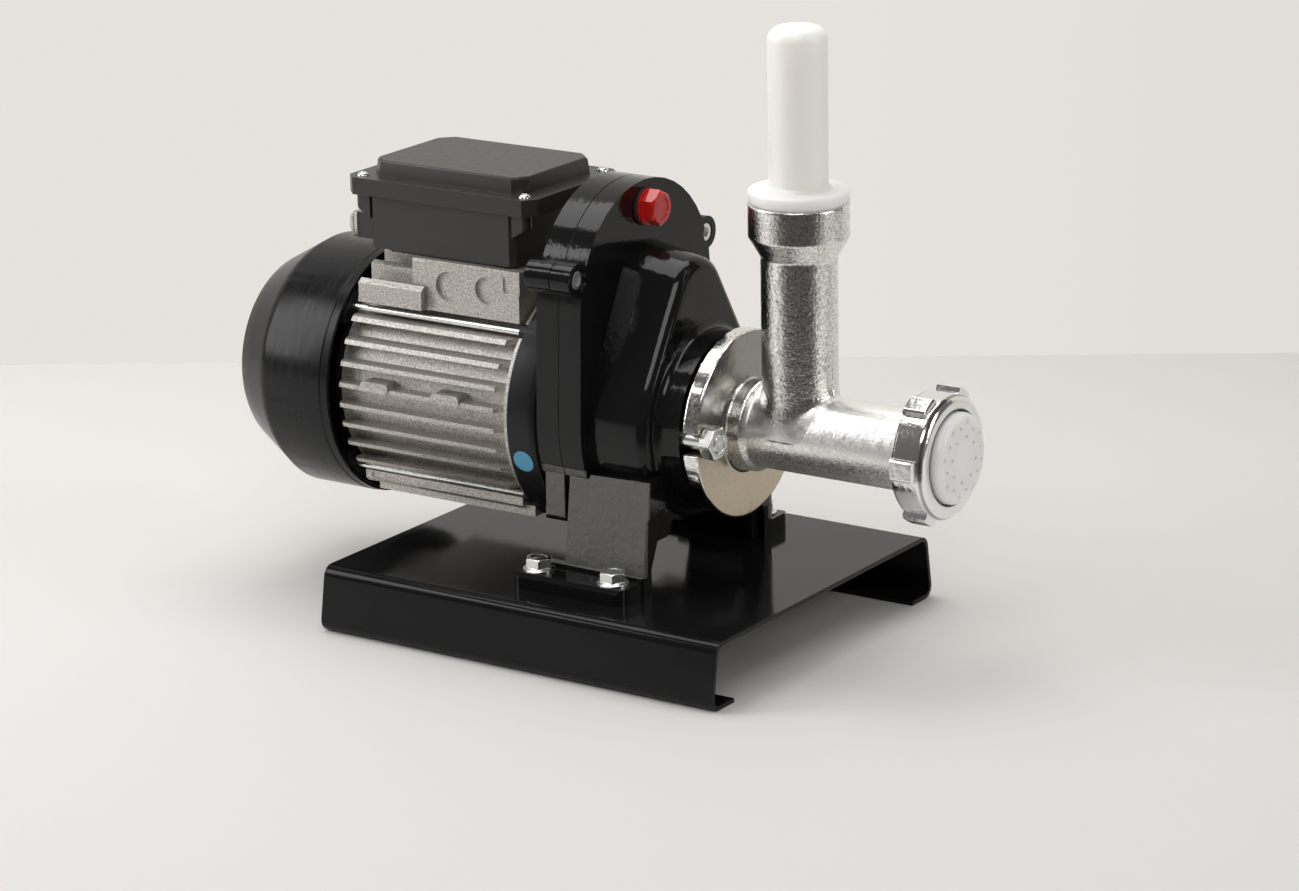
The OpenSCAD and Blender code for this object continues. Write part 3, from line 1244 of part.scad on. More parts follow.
base_plate();
gearbox_rear_half();
gearbox_front_half();
gearbox_gasket();
case_screws();
motor_flange_screws();
oil_plug();
plug_washer();
foot_bolts();
foot_nuts();
barrel_studs();
stud_nuts();
motor_front_shield();
motor_frame();
stator_core();
stator_windings();
motor_rear_shield();
tie_rods();
fan_cowl();
box_gasket();
terminal_box();
lid_gasket();
terminal_lid();
lid_screws();
run_capacitor();
terminal_block();
switch_body();
switch_boot();
gland_body();
gland_nut();
gland_seal();
motor_bearings();
countershaft_bearings();
output_bearings();
shaft_seals();
extruder_barrel();
thrust_washer();
die();
ring_nut();
pusher();
motor_shaft();
rotor_core();
cooling_fan();
fan_clip();
countershaft();
first_gear();
first_gear_key();
output_shaft();
output_gear();
output_gear_key();
auger();
switch_rocker();
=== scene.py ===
# Electric pasta extruder on a pale table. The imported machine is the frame, and each section below
# finishes one piece, or one group of like pieces, in the order in which the machine goes together.
import math

import bpy
from mathutils import Matrix, Vector, noise
from mathutils.bvhtree import BVHTree


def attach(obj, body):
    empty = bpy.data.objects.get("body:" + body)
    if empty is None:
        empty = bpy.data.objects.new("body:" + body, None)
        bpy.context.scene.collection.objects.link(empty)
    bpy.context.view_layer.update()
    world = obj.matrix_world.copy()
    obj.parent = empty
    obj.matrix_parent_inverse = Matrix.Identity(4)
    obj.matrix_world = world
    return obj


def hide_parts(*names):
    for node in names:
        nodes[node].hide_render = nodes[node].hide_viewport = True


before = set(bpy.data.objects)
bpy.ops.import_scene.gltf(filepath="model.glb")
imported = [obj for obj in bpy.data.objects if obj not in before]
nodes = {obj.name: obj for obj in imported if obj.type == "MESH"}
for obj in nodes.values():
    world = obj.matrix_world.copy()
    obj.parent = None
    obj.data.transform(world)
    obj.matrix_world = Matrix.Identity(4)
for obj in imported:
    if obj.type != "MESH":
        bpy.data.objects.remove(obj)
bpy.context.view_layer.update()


# ---- Studio ---------------------------------------------------------------------------
# A pale table top in front of a pale wall. A long lens stands off the machine's right side,
# a little above it, and large soft boxes light it from overhead, both sides and the front.
PHOTO_SIZE = (1299, 891)              # pixels
LENS_PIXELS = 4325.9                  # focal length, in pixels of the photo
CAMERA_AZIMUTH, CAMERA_ELEVATION, CAMERA_ROLL = 34.05, 16.5, -1.03    # degrees
AXIS_HEIGHT = 0.119                   # of the motor's and the barrel's axis above the table
FLANGE_X = 0.0843                     # the barrel flange's front face
FLANGE_PIXEL = (748.57, 423.39)       # where the middle of that face shows
FLANGE_DISTANCE = 2.271               # along the view
WALL_DISTANCE = 0.518                 # from the machine's middle to the wall's foot
WALL_TURN = 32.15                     # degrees between the wall and the machine's axis
WALL_COLOUR = (0.79, 0.765, 0.725)
WALL_SHADE = (0.69, 0.66, 0.60)       # painted shade: the wall's colour towards its right, which gets less light
TABLE_COLOUR = (0.72, 0.71, 0.69)
ROOM_COLOUR = (0.12, 0.115, 0.11)
PAINTED_DARK_REFLECTION = (0.06, 0.058, 0.055)    # painted reflection: the table's colour in glossy rays, on that side
FRONT = (0.559, -0.829)               # the way from the machine to where the table is painted dark in reflections
DARK_SECTOR = (0.72, 1.0)             # radians either side of it, where the dark fades out
DARK_FROM = (0.25, 0.4)               # and the way out over which it fades in
WALL_FADE = (-0.15, 0.45)             # the stretch along X on which the wall's colour changes
TABLE_REACH, WALL_REACH, WALL_HEIGHT = 6, 1.6, 1.1
MIDDLE, AXIS_MIDDLE = (0, 0, 0.1), (0, 0, 0.12)   # what the lamps are aimed at
LAMPS = (                             # place, aim, width and height, watts
    ("overhead_box", (-0.28, 0.1, 1.4), MIDDLE, (1.3, 1.0), 13.5),
    ("left_box", (-1.3, -0.95, 0.85), AXIS_MIDDLE, (0.7, 1.2), 13),
    ("right_box", (1.6, 0.3, 0.8), AXIS_MIDDLE, (0.5, 1.0), 7),
    ("camera_box", (0.75, -1.5, 1.7), MIDDLE, (1.1, 0.8), 12))


def mesh_object(name, points, faces, smooth=True):
    mesh = bpy.data.meshes.new(name)
    mesh.from_pydata(points, [], faces)
    mesh.update()
    if smooth:
        mesh.shade_smooth()
    made = bpy.data.objects.new(name, mesh)
    bpy.context.scene.collection.objects.link(made)
    return made


class Finish:
    """A node material, built up by the section that owns it."""

    def __init__(self, name, colour, roughness=0.5, metallic=0.0, **sockets):
        self.material = bpy.data.materials.new(name)
        self.material.use_nodes = True
        self.tree = self.material.node_tree
        self.shader = self.tree.nodes["Principled BSDF"]
        self.shader.inputs["Base Color"].default_value = (*colour, 1)
        self.shader.inputs["Roughness"].default_value = roughness
        self.shader.inputs["Metallic"].default_value = metallic
        for socket, value in sockets.items():
            self.shader.inputs[socket.replace("_", " ").title()].default_value = value
        self.place = self.add("ShaderNodeTexCoord").outputs["Object"]

    def add(self, kind, inputs=None, **settings):
        made = self.tree.nodes.new(kind)
        for key, value in settings.items():
            setattr(made, key, value)
        for key, value in (inputs or {}).items():
            if isinstance(value, bpy.types.NodeSocket):
                self.tree.links.new(value, made.inputs[key])
            else:
                made.inputs[key].default_value = value
        return made

    def join(self, source, target):
        self.tree.links.new(source, target)

    def clouds(self, cell, detail=2.0, rough=0.5, stretch=(1, 1, 1)):
        """Noise from 0 to 1 whose lumps are about one cell across, in metres."""
        place = self.place
        if stretch != (1, 1, 1):
            place = self.add("ShaderNodeMapping", {"Vector": place, "Scale": stretch}).outputs[0]
        return self.add("ShaderNodeTexNoise", {"Vector": place, "Scale": 1 / cell, "Detail": detail,
                                               "Roughness": rough}).outputs["Fac"]

    def ramp(self, value, low, high, to_low=0.0, to_high=1.0):
        return self.add("ShaderNodeMapRange", {"Value": value, "From Min": low, "From Max": high,
                                               "To Min": to_low, "To Max": to_high}).outputs["Result"]

    def tint(self, value, first, second):
        """The base colour runs from first to second as value goes from 0 to 1."""
        mixed = self.add("ShaderNodeMix", {"Factor": value}, data_type="RGBA")
        mixed.inputs[6].default_value = (*first, 1)
        mixed.inputs[7].default_value = (*second, 1)
        self.join(mixed.outputs[2], self.shader.inputs["Base Color"])
        return mixed.outputs[2]

    def place_on(self, axis):
        return self.add("ShaderNodeSeparateXYZ", {0: self.place}).outputs[axis]

    def sum_of(self, operation, first, second=0.0):
        return self.add("ShaderNodeMath", {0: first, 1: second}, operation=operation).outputs[0]

    def band(self, value, low, high, soft):
        """1 between low and high, and 0 outside, with an edge soft metres wide."""
        return self.sum_of("MULTIPLY", self.ramp(value, low - soft, low),
                           self.ramp(value, high, high + soft, 1, 0))

    def off_axis(self):
        """How far a point is from the motor's and the auger's axis."""
        rise = self.sum_of("SUBTRACT", self.place_on("Z"), AXIS_HEIGHT)
        squares = self.sum_of("ADD", self.sum_of("POWER", self.place_on("Y"), 2.0),
                              self.sum_of("POWER", rise, 2.0))
        return self.sum_of("SQRT", squares)

    def roughen(self, value, first, second):
        self.join(self.ramp(value, 0, 1, first, second), self.shader.inputs["Roughness"])

    def bump(self, height, depth):
        """height, from 0 to 1, stands for depth metres. Each call adds one layer of relief."""
        normal = self.shader.inputs["Normal"]
        inputs = {"Height": height, "Distance": depth, "Strength": 1.0}
        if normal.is_linked:
            inputs["Normal"] = normal.links[0].from_socket
        self.join(self.add("ShaderNodeBump", inputs).outputs["Normal"], normal)


def backdrop(name, colour, lit):
    """Pale to the camera and in reflections. A lit one is shaded, and takes the shadows."""
    made = Finish(name, colour, 0.6)
    path = made.add("ShaderNodeLightPath")
    if lit:
        # Painted reflection: in glossy rays only, the table is painted dark in front of the machine,
        # past the table's edge, so that bright metal shows a dark room there
        front, side = made.place_on("X"), made.place_on("Y")
        away = made.sum_of("ADD", made.sum_of("MULTIPLY", front, FRONT[0]),
                           made.sum_of("MULTIPLY", side, FRONT[1]))
        across = made.sum_of("SUBTRACT", made.sum_of("MULTIPLY", side, FRONT[0]),
                             made.sum_of("MULTIPLY", front, FRONT[1]))
        off = made.sum_of("ABSOLUTE", made.sum_of("ARCTAN2", across, away))
        dark = made.sum_of("MULTIPLY", made.ramp(off, *DARK_SECTOR, 1, 0), made.ramp(away, *DARK_FROM))
        dark = made.sum_of("MULTIPLY", dark, path.outputs["Is Glossy Ray"])
        made.tint(dark, colour, PAINTED_DARK_REFLECTION)
        return made.material
    seen = made.add("ShaderNodeMath", {0: path.outputs["Is Camera Ray"],
                                       1: path.outputs["Is Glossy Ray"]}, operation="MAXIMUM")
    seen = made.add("ShaderNodeMath", {0: seen.outputs[0],
                                       1: path.outputs["Is Transmission Ray"]}, operation="MAXIMUM")
    # Painted shade: the wall's glowing colour darkens towards its right
    along = made.ramp(made.place_on("X"), *WALL_FADE)
    shaded = made.tint(along, colour, WALL_SHADE)
    glow = made.add("ShaderNodeEmission", {"Color": shaded, "Strength": 1.0})
    front = made.add("ShaderNodeMixShader", {0: seen.outputs[0], 1: made.shader.outputs[0],
                                             2: glow.outputs[0]})
    clear = made.add("ShaderNodeBsdfTransparent")
    side = made.add("ShaderNodeNewGeometry")
    both = made.add("ShaderNodeMixShader", {0: side.outputs["Backfacing"], 1: front.outputs[0],
                                            2: clear.outputs[0]})
    made.join(both.outputs[0], made.tree.nodes["Material Output"].inputs["Surface"])
    return made.material


def camera_axes():
    """The lens's right, its up and the way back from what it sees."""
    turn, lift, roll = (math.radians(v) for v in (CAMERA_AZIMUTH, CAMERA_ELEVATION, CAMERA_ROLL))
    back = Vector((math.sin(turn) * math.cos(lift), -math.cos(turn) * math.cos(lift), math.sin(lift)))
    right = Vector((math.cos(turn), math.sin(turn), 0))
    up = back.cross(right)
    rolled_right = math.cos(roll) * right + math.sin(roll) * up
    return rolled_right, math.cos(roll) * up - math.sin(roll) * right, back


def stand_camera():
    right, up, back = camera_axes()
    off_right = (FLANGE_PIXEL[0] - PHOTO_SIZE[0] / 2) / LENS_PIXELS * FLANGE_DISTANCE
    off_up = (PHOTO_SIZE[1] / 2 - FLANGE_PIXEL[1]) / LENS_PIXELS * FLANGE_DISTANCE
    place = Vector((FLANGE_X, 0, AXIS_HEIGHT)) - right * off_right - up * off_up + back * FLANGE_DISTANCE
    lens = bpy.data.cameras.new("camera")
    lens.sensor_width = 36
    lens.lens = LENS_PIXELS / PHOTO_SIZE[0] * lens.sensor_width
    lens.clip_end = 60
    camera = bpy.data.objects.new("camera", lens)
    camera.matrix_world = Matrix.Translation(place) @ Matrix((right, up, back)).transposed().to_4x4()
    bpy.context.scene.collection.objects.link(camera)
    bpy.context.scene.camera = camera


def stand_backdrop():
    along = Vector((math.cos(math.radians(WALL_TURN)), math.sin(math.radians(WALL_TURN)), 0))
    foot = Vector((-along.y, along.x, 0)) * WALL_DISTANCE
    corners = [(x * TABLE_REACH, y * TABLE_REACH, 0) for x, y in ((-1, -1), (1, -1), (1, 1), (-1, 1))]
    table = mesh_object("table", corners, [(0, 1, 2, 3)], False)
    table.data.materials.append(backdrop("table", TABLE_COLOUR, True))
    reach, height = along * WALL_REACH, Vector((0, 0, WALL_HEIGHT))
    corners = [foot - reach, foot + reach, foot + reach + height, foot - reach + height]
    wall = mesh_object("wall", corners, [(0, 1, 2, 3)], False)
    wall.data.materials.append(backdrop("wall", WALL_COLOUR, False))


def soft_box(name, place, aim, size, power):
    lamp = bpy.data.lights.new(name, "AREA")
    lamp.shape = "RECTANGLE"
    lamp.size, lamp.size_y = size
    lamp.energy = power
    box = bpy.data.objects.new(name, lamp)
    box.location = place
    box.rotation_mode = "QUATERNION"
    box.rotation_quaternion = (Vector(aim) - Vector(place)).to_track_quat("-Z", "Y")
    bpy.context.scene.collection.objects.link(box)


def light_room():
    for lamp in LAMPS:
        soft_box(*lamp)
    world = bpy.data.worlds.new("room")
    world.use_nodes = True
    tree = world.node_tree
    path = tree.nodes.new("ShaderNodeLightPath")
    mixed = tree.nodes.new("ShaderNodeMix")
    mixed.data_type = "RGBA"
    mixed.inputs[6].default_value = (*ROOM_COLOUR, 1)
    mixed.inputs[7].default_value = (*WALL_COLOUR, 1)
    tree.links.new(path.outputs["Is Camera Ray"], mixed.inputs["Factor"])
    tree.links.new(mixed.outputs[2], tree.nodes["Background"].inputs["Color"])
    bpy.context.scene.world = world


stand_camera()
stand_backdrop()
light_room()
bpy.context.scene.view_settings.view_transform = "Standard"


# ---- Base plate -----------------------------------------------------------------------
# Sheet steel folded into a low table, its sides leaning out and its lips turned in. It is
# sprayed in gloss black, which lies in a faint orange peel.
def smooth_group():
    """Turns smooth shading on before the rounding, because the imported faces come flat."""
    group = bpy.data.node_groups.get("smooth_faces")
    if group is None:
        group = bpy.data.node_groups.new("smooth_faces", "GeometryNodeTree")
        group.interface.new_socket("Geometry", in_out="INPUT", socket_type="NodeSocketGeometry")
        group.interface.new_socket("Geometry", in_out="OUTPUT", socket_type="NodeSocketGeometry")
        come, go = group.nodes.new("NodeGroupInput"), group.nodes.new("NodeGroupOutput")
        shade = group.nodes.new("GeometryNodeSetShadeSmooth")
        group.links.new(come.outputs[0], shade.inputs["Geometry"])
        group.links.new(shade.outputs[0], go.inputs[0])
    return group


def finish_node(name, material, edge=0.0, steps=3, sharp=35, merge=True):
    """Gives a node its material, and rounds its sharp edges by edge metres. merge makes one
    face of each flat side first, which a side full of slots doesn't take."""
    node = nodes[name]
    node.data.materials.clear()
    node.data.materials.append(material)
    if edge:
        weld = node.modifiers.new("weld", "WELD")
        weld.merge_threshold = 1e-6
        if merge:
            flat = node.modifiers.new("flat", "DECIMATE")
            flat.decimate_type = "DISSOLVE"
            flat.angle_limit = math.radians(0.3)
        shade = node.modifiers.new("shade", "NODES")
        shade.node_group = smooth_group()
        bevel = node.modifiers.new("round", "BEVEL")
        bevel.width = edge
        bevel.segments = steps
        bevel.limit_method = "ANGLE"
        bevel.angle_limit = math.radians(sharp)
        bevel.use_clamp_overlap = True
        bevel.miter_outer = "MITER_ARC"
        node.modifiers.new("normals", "WEIGHTED_NORMAL").keep_sharp = False


def gloss_black(name, peel, depth, roughness=0.1, bend=1.32):
    """Wet black paint: a smooth coat over black, in lumps of peel metres."""
    paint = Finish(name, (0.006, 0.006, 0.0065), roughness)
    paint.shader.inputs["IOR"].default_value = bend
    paint.bump(paint.clouds(peel, 2.5), depth)
    paint.tint(paint.clouds(0.02, 3), (0.005, 0.005, 0.0055), (0.009, 0.009, 0.0095))
    paint.roughen(paint.clouds(0.011, 4), roughness * 0.7, roughness * 1.5)
    return paint


base_paint = gloss_black("base_gloss_black", 0.0022, 0.00002, bend=1.27)
finish_node("base_plate", base_paint.material, 0.0008)


# ---- Gearbox case ---------------------------------------------------------------------
# Two die castings bolted at a gasketed split: the rear half carries the motor, the front
# half the output boss, the legs and the feet. Both wear a thick gloss enamel.
SIDE_FACE = (0.0592, 0.09)            # distance from the middle plane of the rough cast sides, which also get a painted sheen
SIDE_RISE = (0.0462, 0.0985)          # and their reach up from the feet
case_paint = gloss_black("case_gloss_black", 0.0035, 0.00009, bend=1.35)
beside = case_paint.sum_of("ABSOLUTE", case_paint.place_on("Y"))
rough_and_sheen_side = case_paint.sum_of("MULTIPLY", case_paint.band(beside, *SIDE_FACE, 0.0004),
                               case_paint.band(case_paint.place_on("Z"), *SIDE_RISE, 0.0006))
# Painted sheen: the rough cast sides are painted a lighter grey for the light they catch; their rougher
# paint and orange peel are real
painted_side_sheen = case_paint.add("ShaderNodeMix", {"Factor": rough_and_sheen_side}, data_type="RGBA")
painted_side_sheen.inputs[6].default_value = (0.007, 0.007, 0.0075, 1)
painted_side_sheen.inputs[7].default_value = (0.12, 0.119, 0.113, 1)
case_paint.join(painted_side_sheen.outputs[2], case_paint.shader.inputs["Base Color"])
case_paint.roughen(rough_and_sheen_side, 0.09, 0.34)
orange_peel = case_paint.sum_of("MULTIPLY", rough_and_sheen_side, case_paint.clouds(0.0045, 4, 0.6))
case_paint.bump(orange_peel, 0.0012)
finish_node("gearbox_front_half", case_paint.material, 0.0016)
finish_node("gearbox_rear_half", case_paint.material, 0.0014)

gasket_paper = Finish("gasket_paper", (0.16, 0.13, 0.09), 0.85)
gasket_paper.bump(gasket_paper.clouds(0.0006, 3), 0.00003)
gasket_paper.tint(gasket_paper.clouds(0.002, 4), (0.12, 0.10, 0.07), (0.2, 0.165, 0.115))
finish_node("gearbox_gasket", gasket_paper.material)


# ---- Motor shields --------------------------------------------------------------------
# The end bells: cast, turned on their seats and painted satin black.
shield_paint = Finish("shield_satin_black", (0.008, 0.008, 0.009), 0.3)
shield_paint.shader.inputs["IOR"].default_value = 1.35
shield_paint.bump(shield_paint.clouds(0.0011, 3), 0.00002)
shield_paint.roughen(shield_paint.clouds(0.006, 3), 0.28, 0.42)
for shield in ("motor_front_shield", "motor_rear_shield"):
    finish_node(shield, shield_paint.material, 0.0008)


# ---- Motor frame ----------------------------------------------------------------------
# A finned aluminium casting, bead blasted to a warm matt grey that is lighter and
# darker in small spots.
blasted = Finish("blasted_aluminium", (0.5, 0.47, 0.44), 0.5, 0.85)
blasted_spots = blasted.clouds(0.0011, 4, 0.75)
blasted.tint(blasted.ramp(blasted_spots, 0.38, 0.62), (0.33, 0.31, 0.285), (0.72, 0.69, 0.65))
blasted.roughen(blasted.clouds(0.0015, 4), 0.42, 0.62)
blasted.bump(blasted_spots, 0.00012)
finish_node("motor_frame", blasted.material, 0.0005, 2)

# A round blue inspection dot is stuck on the front shield, close to its lower edge
DOT_RADIUS = 0.0062
DOT_PLACE = (-0.0157, 17.0)           # along the machine, and degrees below the axis
SHIELD_RADIUS = 0.0671
DOT_STEPS = 36


def blue_dot():
    """A disc of two rings, wrapped round the shield."""
    points, faces = [(0.0, 0.0)], []
    for ring in (0.5, 1.0):
        for step in range(DOT_STEPS):
            turn = step * 2 * math.pi / DOT_STEPS
            points.append((DOT_RADIUS * ring * math.cos(turn), DOT_RADIUS * ring * math.sin(turn)))
    for step in range(DOT_STEPS):
        here, beyond = 1 + step, 1 + (step + 1) % DOT_STEPS
        faces += [(0, here, beyond), (here, DOT_STEPS + here, DOT_STEPS + beyond, beyond)]
    wrapped = []
    for along, across in points:
        angle = math.radians(DOT_PLACE[1]) + across / SHIELD_RADIUS
        wrapped.append((DOT_PLACE[0] + along, -SHIELD_RADIUS * math.cos(angle),
                        AXIS_HEIGHT - SHIELD_RADIUS * math.sin(angle)))
    return mesh_object("blue_dot", wrapped, faces)


dot_paper = Finish("blue_paper", (0.09, 0.31, 0.49), 0.5)
dot_paper.bump(dot_paper.clouds(0.001, 3), 0.00002)
dot = blue_dot()
dot.data.materials.append(dot_paper.material)
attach(dot, "machine")


# ---- Stator and rotor -----------------------------------------------------------------
# Stacks of thin electrical sheet, with enamelled copper coils in the stator's slots.
stack = Finish("stacked_sheet", (0.2, 0.21, 0.22), 0.45, 0.8)
stack_lines = stack.add("ShaderNodeTexWave", {"Vector": stack.place, "Scale": 314.0, "Distortion": 0.2},
                        bands_direction="X").outputs["Fac"]
stack.tint(stack_lines, (0.1, 0.1, 0.105), (0.26, 0.27, 0.28))
stack.bump(stack_lines, 0.00005)
for pack in ("stator_core", "rotor_core"):
    finish_node(pack, stack.material)

copper = Finish("enamelled_copper", (0.42, 0.13, 0.05), 0.3, 0.85, coat_weight=0.5)
wires = copper.add("ShaderNodeTexWave", {"Vector": copper.place, "Scale": 180.0, "Distortion": 3.0,
                                         "Detail": 2.0}, bands_direction="Y").outputs["Fac"]
copper.tint(wires, (0.25, 0.07, 0.03), (0.55, 0.2, 0.08))
copper.bump(wires, 0.0003)
finish_node("stator_windings", copper.material)


# ---- Zinc-plated fasteners ------------------------------------------------------------
# Bolts, nuts, studs, screws and tie rods, bright zinc with a blue passivation that turns
# yellowish in places.
zinc = Finish("bright_zinc", (0.72, 0.74, 0.76), 0.2, 1.0)
zinc.tint(zinc.clouds(0.004, 3), (0.70, 0.75, 0.82), (0.86, 0.83, 0.72))
zinc.roughen(zinc.clouds(0.0012, 4), 0.14, 0.32)
zinc.bump(zinc.clouds(0.0008, 3), 0.00001)
for fastener in ("foot_bolts", "foot_nuts", "case_screws", "motor_flange_screws", "barrel_studs",
                 "stud_nuts", "tie_rods", "lid_screws"):
    finish_node(fastener, zinc.material, 0.00025, 2)


# ---- Fan cowl and fan -----------------------------------------------------------------
# The cowl is pressed from a tough black plastic and pushed over the rear shield. Handling
# has left faint streaks round it. The fan is moulded from the same plastic.
cowl_plastic = Finish("cowl_black", (0.009, 0.009, 0.01), 0.22)
cowl_plastic.shader.inputs["IOR"].default_value = 1.29
cowl_streaks = cowl_plastic.clouds(0.03, 5, 0.65, (12, 1, 1))
cowl_plastic.roughen(cowl_plastic.ramp(cowl_streaks, 0.3, 0.7), 0.16, 0.3)
cowl_plastic.tint(cowl_streaks, (0.006, 0.006, 0.007), (0.012, 0.012, 0.013))
cowl_plastic.bump(cowl_plastic.clouds(0.0012, 3), 0.00001)
finish_node("fan_cowl", cowl_plastic.material, 0.0003, 2, merge=False)
finish_node("cooling_fan", cowl_plastic.material, 0.0004, 2)

spring_steel = Finish("spring_steel", (0.12, 0.12, 0.13), 0.35, 1.0)
spring_steel.roughen(spring_steel.clouds(0.001, 3), 0.28, 0.45)
for small in ("fan_clip", "first_gear_key", "output_gear_key"):
    finish_node(small, spring_steel.material)


# ---- Terminal box ---------------------------------------------------------------------
# A moulded box and lid with a fine spark-eroded grain, screwed down over rubber gaskets.
box_plastic = Finish("box_grained_black", (0.016, 0.016, 0.017), 0.42)
box_grain = box_plastic.clouds(0.0007, 3, 0.6)
box_plastic.bump(box_grain, 0.00004)
box_plastic.roughen(box_plastic.clouds(0.004, 3), 0.3, 0.44)
box_plastic.tint(box_grain, (0.016, 0.0152, 0.014), (0.03, 0.0285, 0.0255))
finish_node("terminal_box", box_plastic.material, 0.0006)
finish_node("terminal_lid", box_plastic.material, 0.0007)

rubber = Finish("black_rubber", (0.02, 0.02, 0.02), 0.7)
rubber.bump(rubber.clouds(0.0009, 3), 0.00003)
for seal in ("box_gasket", "lid_gasket", "gland_seal", "shaft_seals"):
    finish_node(seal, rubber.material)

gland_plastic = Finish("gland_black", (0.014, 0.014, 0.015), 0.38)
gland_plastic.bump(gland_plastic.clouds(0.001, 3), 0.00002)
for gland in ("gland_body", "gland_nut", "switch_body"):
    finish_node(gland, gland_plastic.material, 0.0003, 2)

capacitor_case = Finish("capacitor_case", (0.6, 0.6, 0.58), 0.4)
capacitor_case.tint(capacitor_case.clouds(0.01, 3), (0.52, 0.52, 0.5), (0.64, 0.64, 0.62))
finish_node("run_capacitor", capacitor_case.material, 0.0006)
block_plastic = Finish("terminal_block", (0.55, 0.5, 0.4), 0.5)
block_plastic.bump(block_plastic.clouds(0.001, 3), 0.00003)
finish_node("terminal_block", block_plastic.material, 0.0003, 2)


# ---- Switch and its boot --------------------------------------------------------------
# A small rocker in the box's rear end, under a clear splash boot.
rocker_plastic = Finish("rocker_black", (0.015, 0.015, 0.016), 0.3)
rocker_plastic.bump(rocker_plastic.clouds(0.0008, 2), 0.00001)
finish_node("switch_rocker", rocker_plastic.material, 0.0004)
boot_plastic = Finish("clear_boot", (0.85, 0.86, 0.84), 0.12, transmission_weight=0.9)
boot_plastic.bump(boot_plastic.clouds(0.003, 2), 0.00008)
finish_node("switch_boot", boot_plastic.material)


# ---- Gear train -----------------------------------------------------------------------
# Ground shafts, hobbed gears wet with oil, and their bearings, all inside the case.
ground = Finish("ground_steel", (0.5, 0.5, 0.51), 0.22, 1.0)
ground.roughen(ground.clouds(0.004, 4, 0.6, (8, 1, 1)), 0.16, 0.34)
for shaft in ("motor_shaft", "countershaft", "output_shaft", "motor_bearings", "countershaft_bearings",
              "output_bearings"):
    finish_node(shaft, ground.material)
hobbed = Finish("hobbed_steel", (0.3, 0.3, 0.31), 0.3, 1.0)
hobbed.roughen(hobbed.clouds(0.003, 4), 0.22, 0.42)
for gear in ("first_gear", "output_gear"):
    finish_node(gear, hobbed.material)
bronze = Finish("bearing_bronze", (0.5, 0.3, 0.12), 0.35, 1.0)
bronze.roughen(bronze.clouds(0.003, 4), 0.28, 0.45)
finish_node("thrust_washer", bronze.material)


# ---- Oil plug -------------------------------------------------------------------------
# A red hexagon plug of glossy plastic, screwed down on a rubber washer.
plug_plastic = Finish("plug_red", (0.52, 0.012, 0.01), 0.18, coat_weight=0.3)
plug_plastic.tint(plug_plastic.clouds(0.004, 3), (0.45, 0.008, 0.008), (0.6, 0.016, 0.013))
plug_plastic.bump(plug_plastic.clouds(0.0016, 2), 0.00002)
finish_node("oil_plug", plug_plastic.material, 0.0005)
finish_node("plug_washer", rubber.material)


# ---- Barrel ---------------------------------------------------------------------------
# Flange, barrel and feed tube are one tinned iron casting. Its skin is bright but lumpy;
# the flange's rim and the threads are turned.
FEED_X = FLANGE_X + 0.0321            # the feed tube's axis
BARREL_RADIUS, FEED_RADIUS, RIM_RADIUS = 0.0215, 0.0201, 0.0502
CAST_CELL = 0.0007
FACE_EDGE = 0.0265                    # from the barrel's skin to the turned rim of the flange
CREASE = 0.006                        # width of the fillet between the tube and the barrel
PARTING = (0.0008, 0.0003)            # half width and height of the ridge where the moulds met
FACE_WAVES = (0.006, 0.00004)         # cell and height
LUMPS = ((0.0035, 0.00007), (0.0014, 0.00008, (7, 3, 1)))   # cell, height and shift
PIT_CELL, PIT_DEPTH, PIT_SHIFT, PIT_START = 0.0015, 0.0003, (2, 9, 4), 0.25
BARREL_LUMP, BARREL_PIT = 0.35, 0.3   # the share of both on the barrel, which came out smoother


def waves(point, cell, height, shift=(0, 0, 0)):
    return height * noise.noise(point / cell + Vector(shift))


def cast_relief(point):
    """How far the casting's skin stands off the drawn surface there, in metres."""
    rise = point.z - AXIS_HEIGHT
    off_barrel = math.hypot(point.y, rise) - BARREL_RADIUS
    off_tube = math.hypot(point.x - FEED_X, point.y) - FEED_RADIUS
    if min(off_barrel, off_tube) < -0.001 and point.x > FLANGE_X + 0.001:
        return 0.0                    # the bores are machined
    relief = PARTING[1] * max(0.0, 1 - abs(point.y) / PARTING[0])
    if point.x < FLANGE_X + 0.0004:   # the flange: a turned rim and a flatter face
        return relief / 2 + waves(point, *FACE_WAVES) if off_barrel < FACE_EDGE else 0.0
    lump = sum(waves(point, *size) for size in LUMPS)
    pit = max(0.0, noise.noise(point / PIT_CELL + Vector(PIT_SHIFT)) - PIT_START)
    if off_tube > 0.001:
        lump, pit = lump * BARREL_LUMP, pit * BARREL_PIT
    if rise > 0:
        relief += CREASE / 4 * max(0.0, 1 - abs(off_barrel - off_tube) / CREASE) ** 2
    return lump - PIT_DEPTH * pit + relief


def cast_skin(node):
    """The node's surface in small cells, each pushed in or out by the casting's relief."""
    skin = bpy.data.objects.new("cast_barrel", node.data.copy())
    bpy.context.scene.collection.objects.link(skin)
    cells = skin.modifiers.new("cells", "REMESH")
    cells.mode = "VOXEL"
    cells.voxel_size = CAST_CELL
    graph = bpy.context.evaluated_depsgraph_get()
    drawn = BVHTree.FromObject(node, graph)
    mesh = bpy.data.meshes.new_from_object(skin.evaluated_get(graph))
    skin.modifiers.clear()
    skin.data = mesh
    normals = [corner.normal.copy() for corner in mesh.vertices]
    for corner, normal in zip(mesh.vertices, normals):
        seat = drawn.find_nearest(corner.co)[0]
        corner.co = seat + normal * cast_relief(seat)
    mesh.shade_smooth()
    mesh.set_sharp_from_angle(angle=math.radians(50))
    mesh.materials.clear()
    return skin


tinned = Finish("tinned_casting", (0.85, 0.84, 0.82), 0.12, 1.0)
along, rise = tinned.place_on("X"), tinned.sum_of("SUBTRACT", tinned.place_on("Z"), AXIS_HEIGHT)
from_axis = tinned.off_axis()
